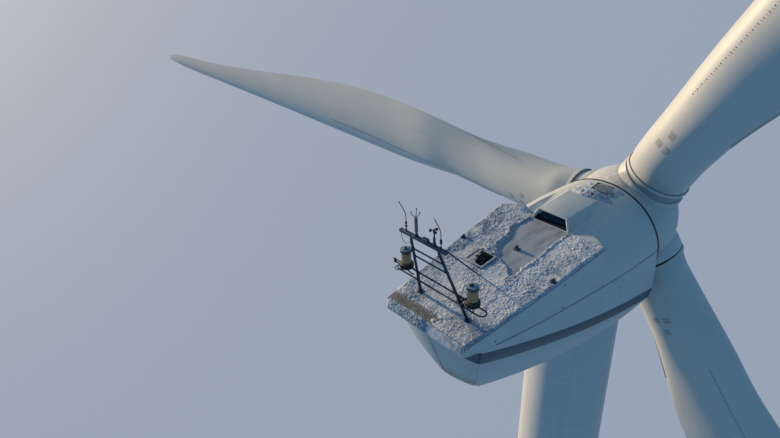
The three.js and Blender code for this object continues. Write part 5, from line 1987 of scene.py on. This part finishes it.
@dataclass
class Rotor:
    """The spinner with its blade collars and the shaft behind it."""

    blades: tuple[Blade, ...] = field(default_factory=lambda: (
        Blade(0, ((0.45, 3.9), (0.09, 3.88), (0.24, 4.40))),
        Blade(1, ((0.0, 4.16), (0.41, 4.28), (0.26, 4.84))),
        Blade(2, ((-0.21, 4.25), (0.20, 4.29), (-0.04, 4.82)), first_fin=6.9, seal=0.06)))
    nose_profile: Pairs = ((0.43, 2.19), (0.43, 2.205), (0.3, 2.25), (0.15, 2.281), (0.0, 2.29))
    screw_rows: tuple[tuple[float, float, int], ...] = (
        (0.62, 2.09, 12), (1.47, 1.165, 36), (1.868, -1.55, 36))

    def build_spinner_parts(self) -> None:
        """Adds the spinner's nose cap and its panel screws."""
        space = MACHINE @ Matrix.Rotation(math.radians(90), 4, "X")
        Shape().lathe(space, self.nose_profile, 64).make("spinner_nose_cap", SHELL, "rotor")
        screws = Shape()
        for radius, forward, count in self.screw_rows:
            for x, y in circle(count, start=0.5):
                spot = space @ Vector((radius * x, radius * y, forward))
                way = (space.to_3x3() @ Vector((x, y, 0.6 if forward > 0 else 0))).normalized()
                screws.pipe([spot - way * 0.001, spot + way * 0.0012], 0.018, 8)
        screws.make("spinner_screws", SHAFT_STEEL, "rotor")

    def build(self) -> None:
        """Dresses the hub and makes the blades."""
        dress("spinner", SPINNER_PAINT, edge=0.012, crease=30)
        for index in range(3):
            dress(f"hub_collar_{index + 1}", SPINNER_PAINT, edge=0.01, crease=40)
        dress("main_shaft", SHAFT_STEEL, edge=0.01)
        self.build_spinner_parts()
        for blade in self.blades:
            blade.build()


@dataclass
class Tower:
    """The top section of the tower with its flanges and yaw ring."""

    bolts: int = 72
    bolt_circle: float = 1.828
    bolt_z: float = 0.12
    teeth: int = 120
    tooth_place: Triple = (1.255, 0, 15.37)

    def build(self) -> None:
        """Dresses the section and adds the flange bolts and yaw ring teeth."""
        dress("tower_section", TOWER, crease=30, space=WORLD)
        dress("tower_base_flange", SHAFT_STEEL, edge=0.012)
        dress("yaw_ring", CAST, edge=0.008)
        bolts = Shape()
        for x, y in circle(self.bolts, self.bolt_circle):
            space = WORLD @ Matrix.Translation((x, y, self.bolt_z))
            bolts.lathe(space, [(0.022, -0.01), (0.022, 0.02), (0.014, 0.026)], 6)
        bolts.make("flange_bolts", SHAFT_STEEL, "tower_top")
        teeth = Shape()
        for step in range(self.teeth):
            space = WORLD @ Matrix.Rotation(step / self.teeth * math.tau, 4, "Z")
            teeth.slab(space, self.tooth_place, (0.05, 0.036, 0.1))
        teeth.make("yaw_ring_teeth", CAST, "tower_top")


@dataclass
class Studio:
    """Floor, light and the camera at the photograph's angle."""

    floor_z: float = -4.25
    floor_radius: float = 90.0
    floor_colour: Colour = (0.78, 0.84, 0.95, 1.0)
    sun_from: Triple = (0.971, 0.065, 0.23)
    sun_strength: float = 4.3
    sun_width: float = 4.0
    sun_colour: Triple = (1.0, 0.77, 0.49)
    sky_colour: Colour = (0.27, 0.62, 1.08, 1.0)
    sky_strength: float = 0.31
    camera_turn: Triple = (-50.283, 30.1036, 3.6508)
    camera_place: Triple = (-0.90721, 1.66239, 2.96673)
    focal_pixels: float = 576.765
    photo_width: float = 780.0
    film_width: float = 36.0
    clip: Pair = (0.05, 300.0)

    def build_floor(self) -> None:
        """Lays a plain pale floor far below the tower section."""
        mesh = bpy.data.meshes.new("floor")
        ring = [(x, y, self.floor_z) for x, y in circle(96, self.floor_radius)]
        mesh.from_pydata(ring, [], [tuple(range(len(ring)))])
        recipe = Recipe("pale_floor", WORLD)
        recipe.set(Base_Color=self.floor_colour, Roughness=0.9)
        mesh.materials.append(recipe.material)
        floor = show("floor", mesh)
        floor.visible_diffuse = False

    def build_light(self) -> None:
        """Sets a low warm key and a cool, even fill."""
        key = bpy.data.lights.new("key", "SUN")
        key.energy = self.sun_strength
        key.angle = math.radians(self.sun_width)
        key.color = self.sun_colour
        show("key", key).rotation_euler = Vector(self.sun_from).to_track_quat("Z", "Y").to_euler()
        world = bpy.data.worlds.new("sky")
        world.use_nodes = True
        backdrop = world.node_tree.nodes["Background"]
        backdrop.inputs["Color"].default_value = self.sky_colour
        backdrop.inputs["Strength"].default_value = self.sky_strength
        bpy.context.scene.world = world
        bpy.context.scene.view_settings.view_transform = "Standard"

    def build_camera(self) -> None:
        """Places the camera as it stood for the photograph."""
        yaw, pitch, roll = (math.radians(angle) for angle in self.camera_turn)
        ahead = Vector((math.sin(yaw) * math.cos(pitch), math.cos(yaw) * math.cos(pitch), -math.sin(pitch)))
        level = Vector((math.cos(yaw), -math.sin(yaw), 0))
        below = ahead.cross(level)
        right = level * math.cos(roll) + below * math.sin(roll)
        down = -level * math.sin(roll) + below * math.cos(roll)
        x, y, z = (Vector((-v.x, -v.y, v.z)) for v in (right, -down, -ahead))
        lens = bpy.data.cameras.new("camera")
        lens.sensor_width = self.film_width
        lens.lens = self.focal_pixels / self.photo_width * self.film_width
        lens.clip_start, lens.clip_end = self.clip
        eye = show("camera", lens)
        turned = Matrix((x, y, z)).transposed().to_4x4()
        eye.matrix_world = Matrix.Translation(self.camera_place) @ turned
        bpy.context.scene.camera = eye

    def build(self) -> None:
        """Sets up the studio."""
        self.build_camera()
        self.build_floor()
        self.build_light()


def write_sizes() -> None:
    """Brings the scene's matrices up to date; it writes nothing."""
    bpy.context.view_layer.update()


def main() -> None:
    """Builds the studio and the machine in order."""
    logging.basicConfig(level=logging.INFO, format="%(message)s")
    noise.seed_set(SNOW_SEED)
    housing = Housing()
    Studio().build()
    Tower().build()
    housing.build()
    RoofSnow(housing).build()
    RoofGear(housing).build()
    Mast(housing).build()
    CupWheel().build()
    for side, name in ((-1, "left"), (1, "right")):
        Lamp(side, name).build()
    Rotor().build()
    write_sizes()


if __name__ == "__main__":
    main()
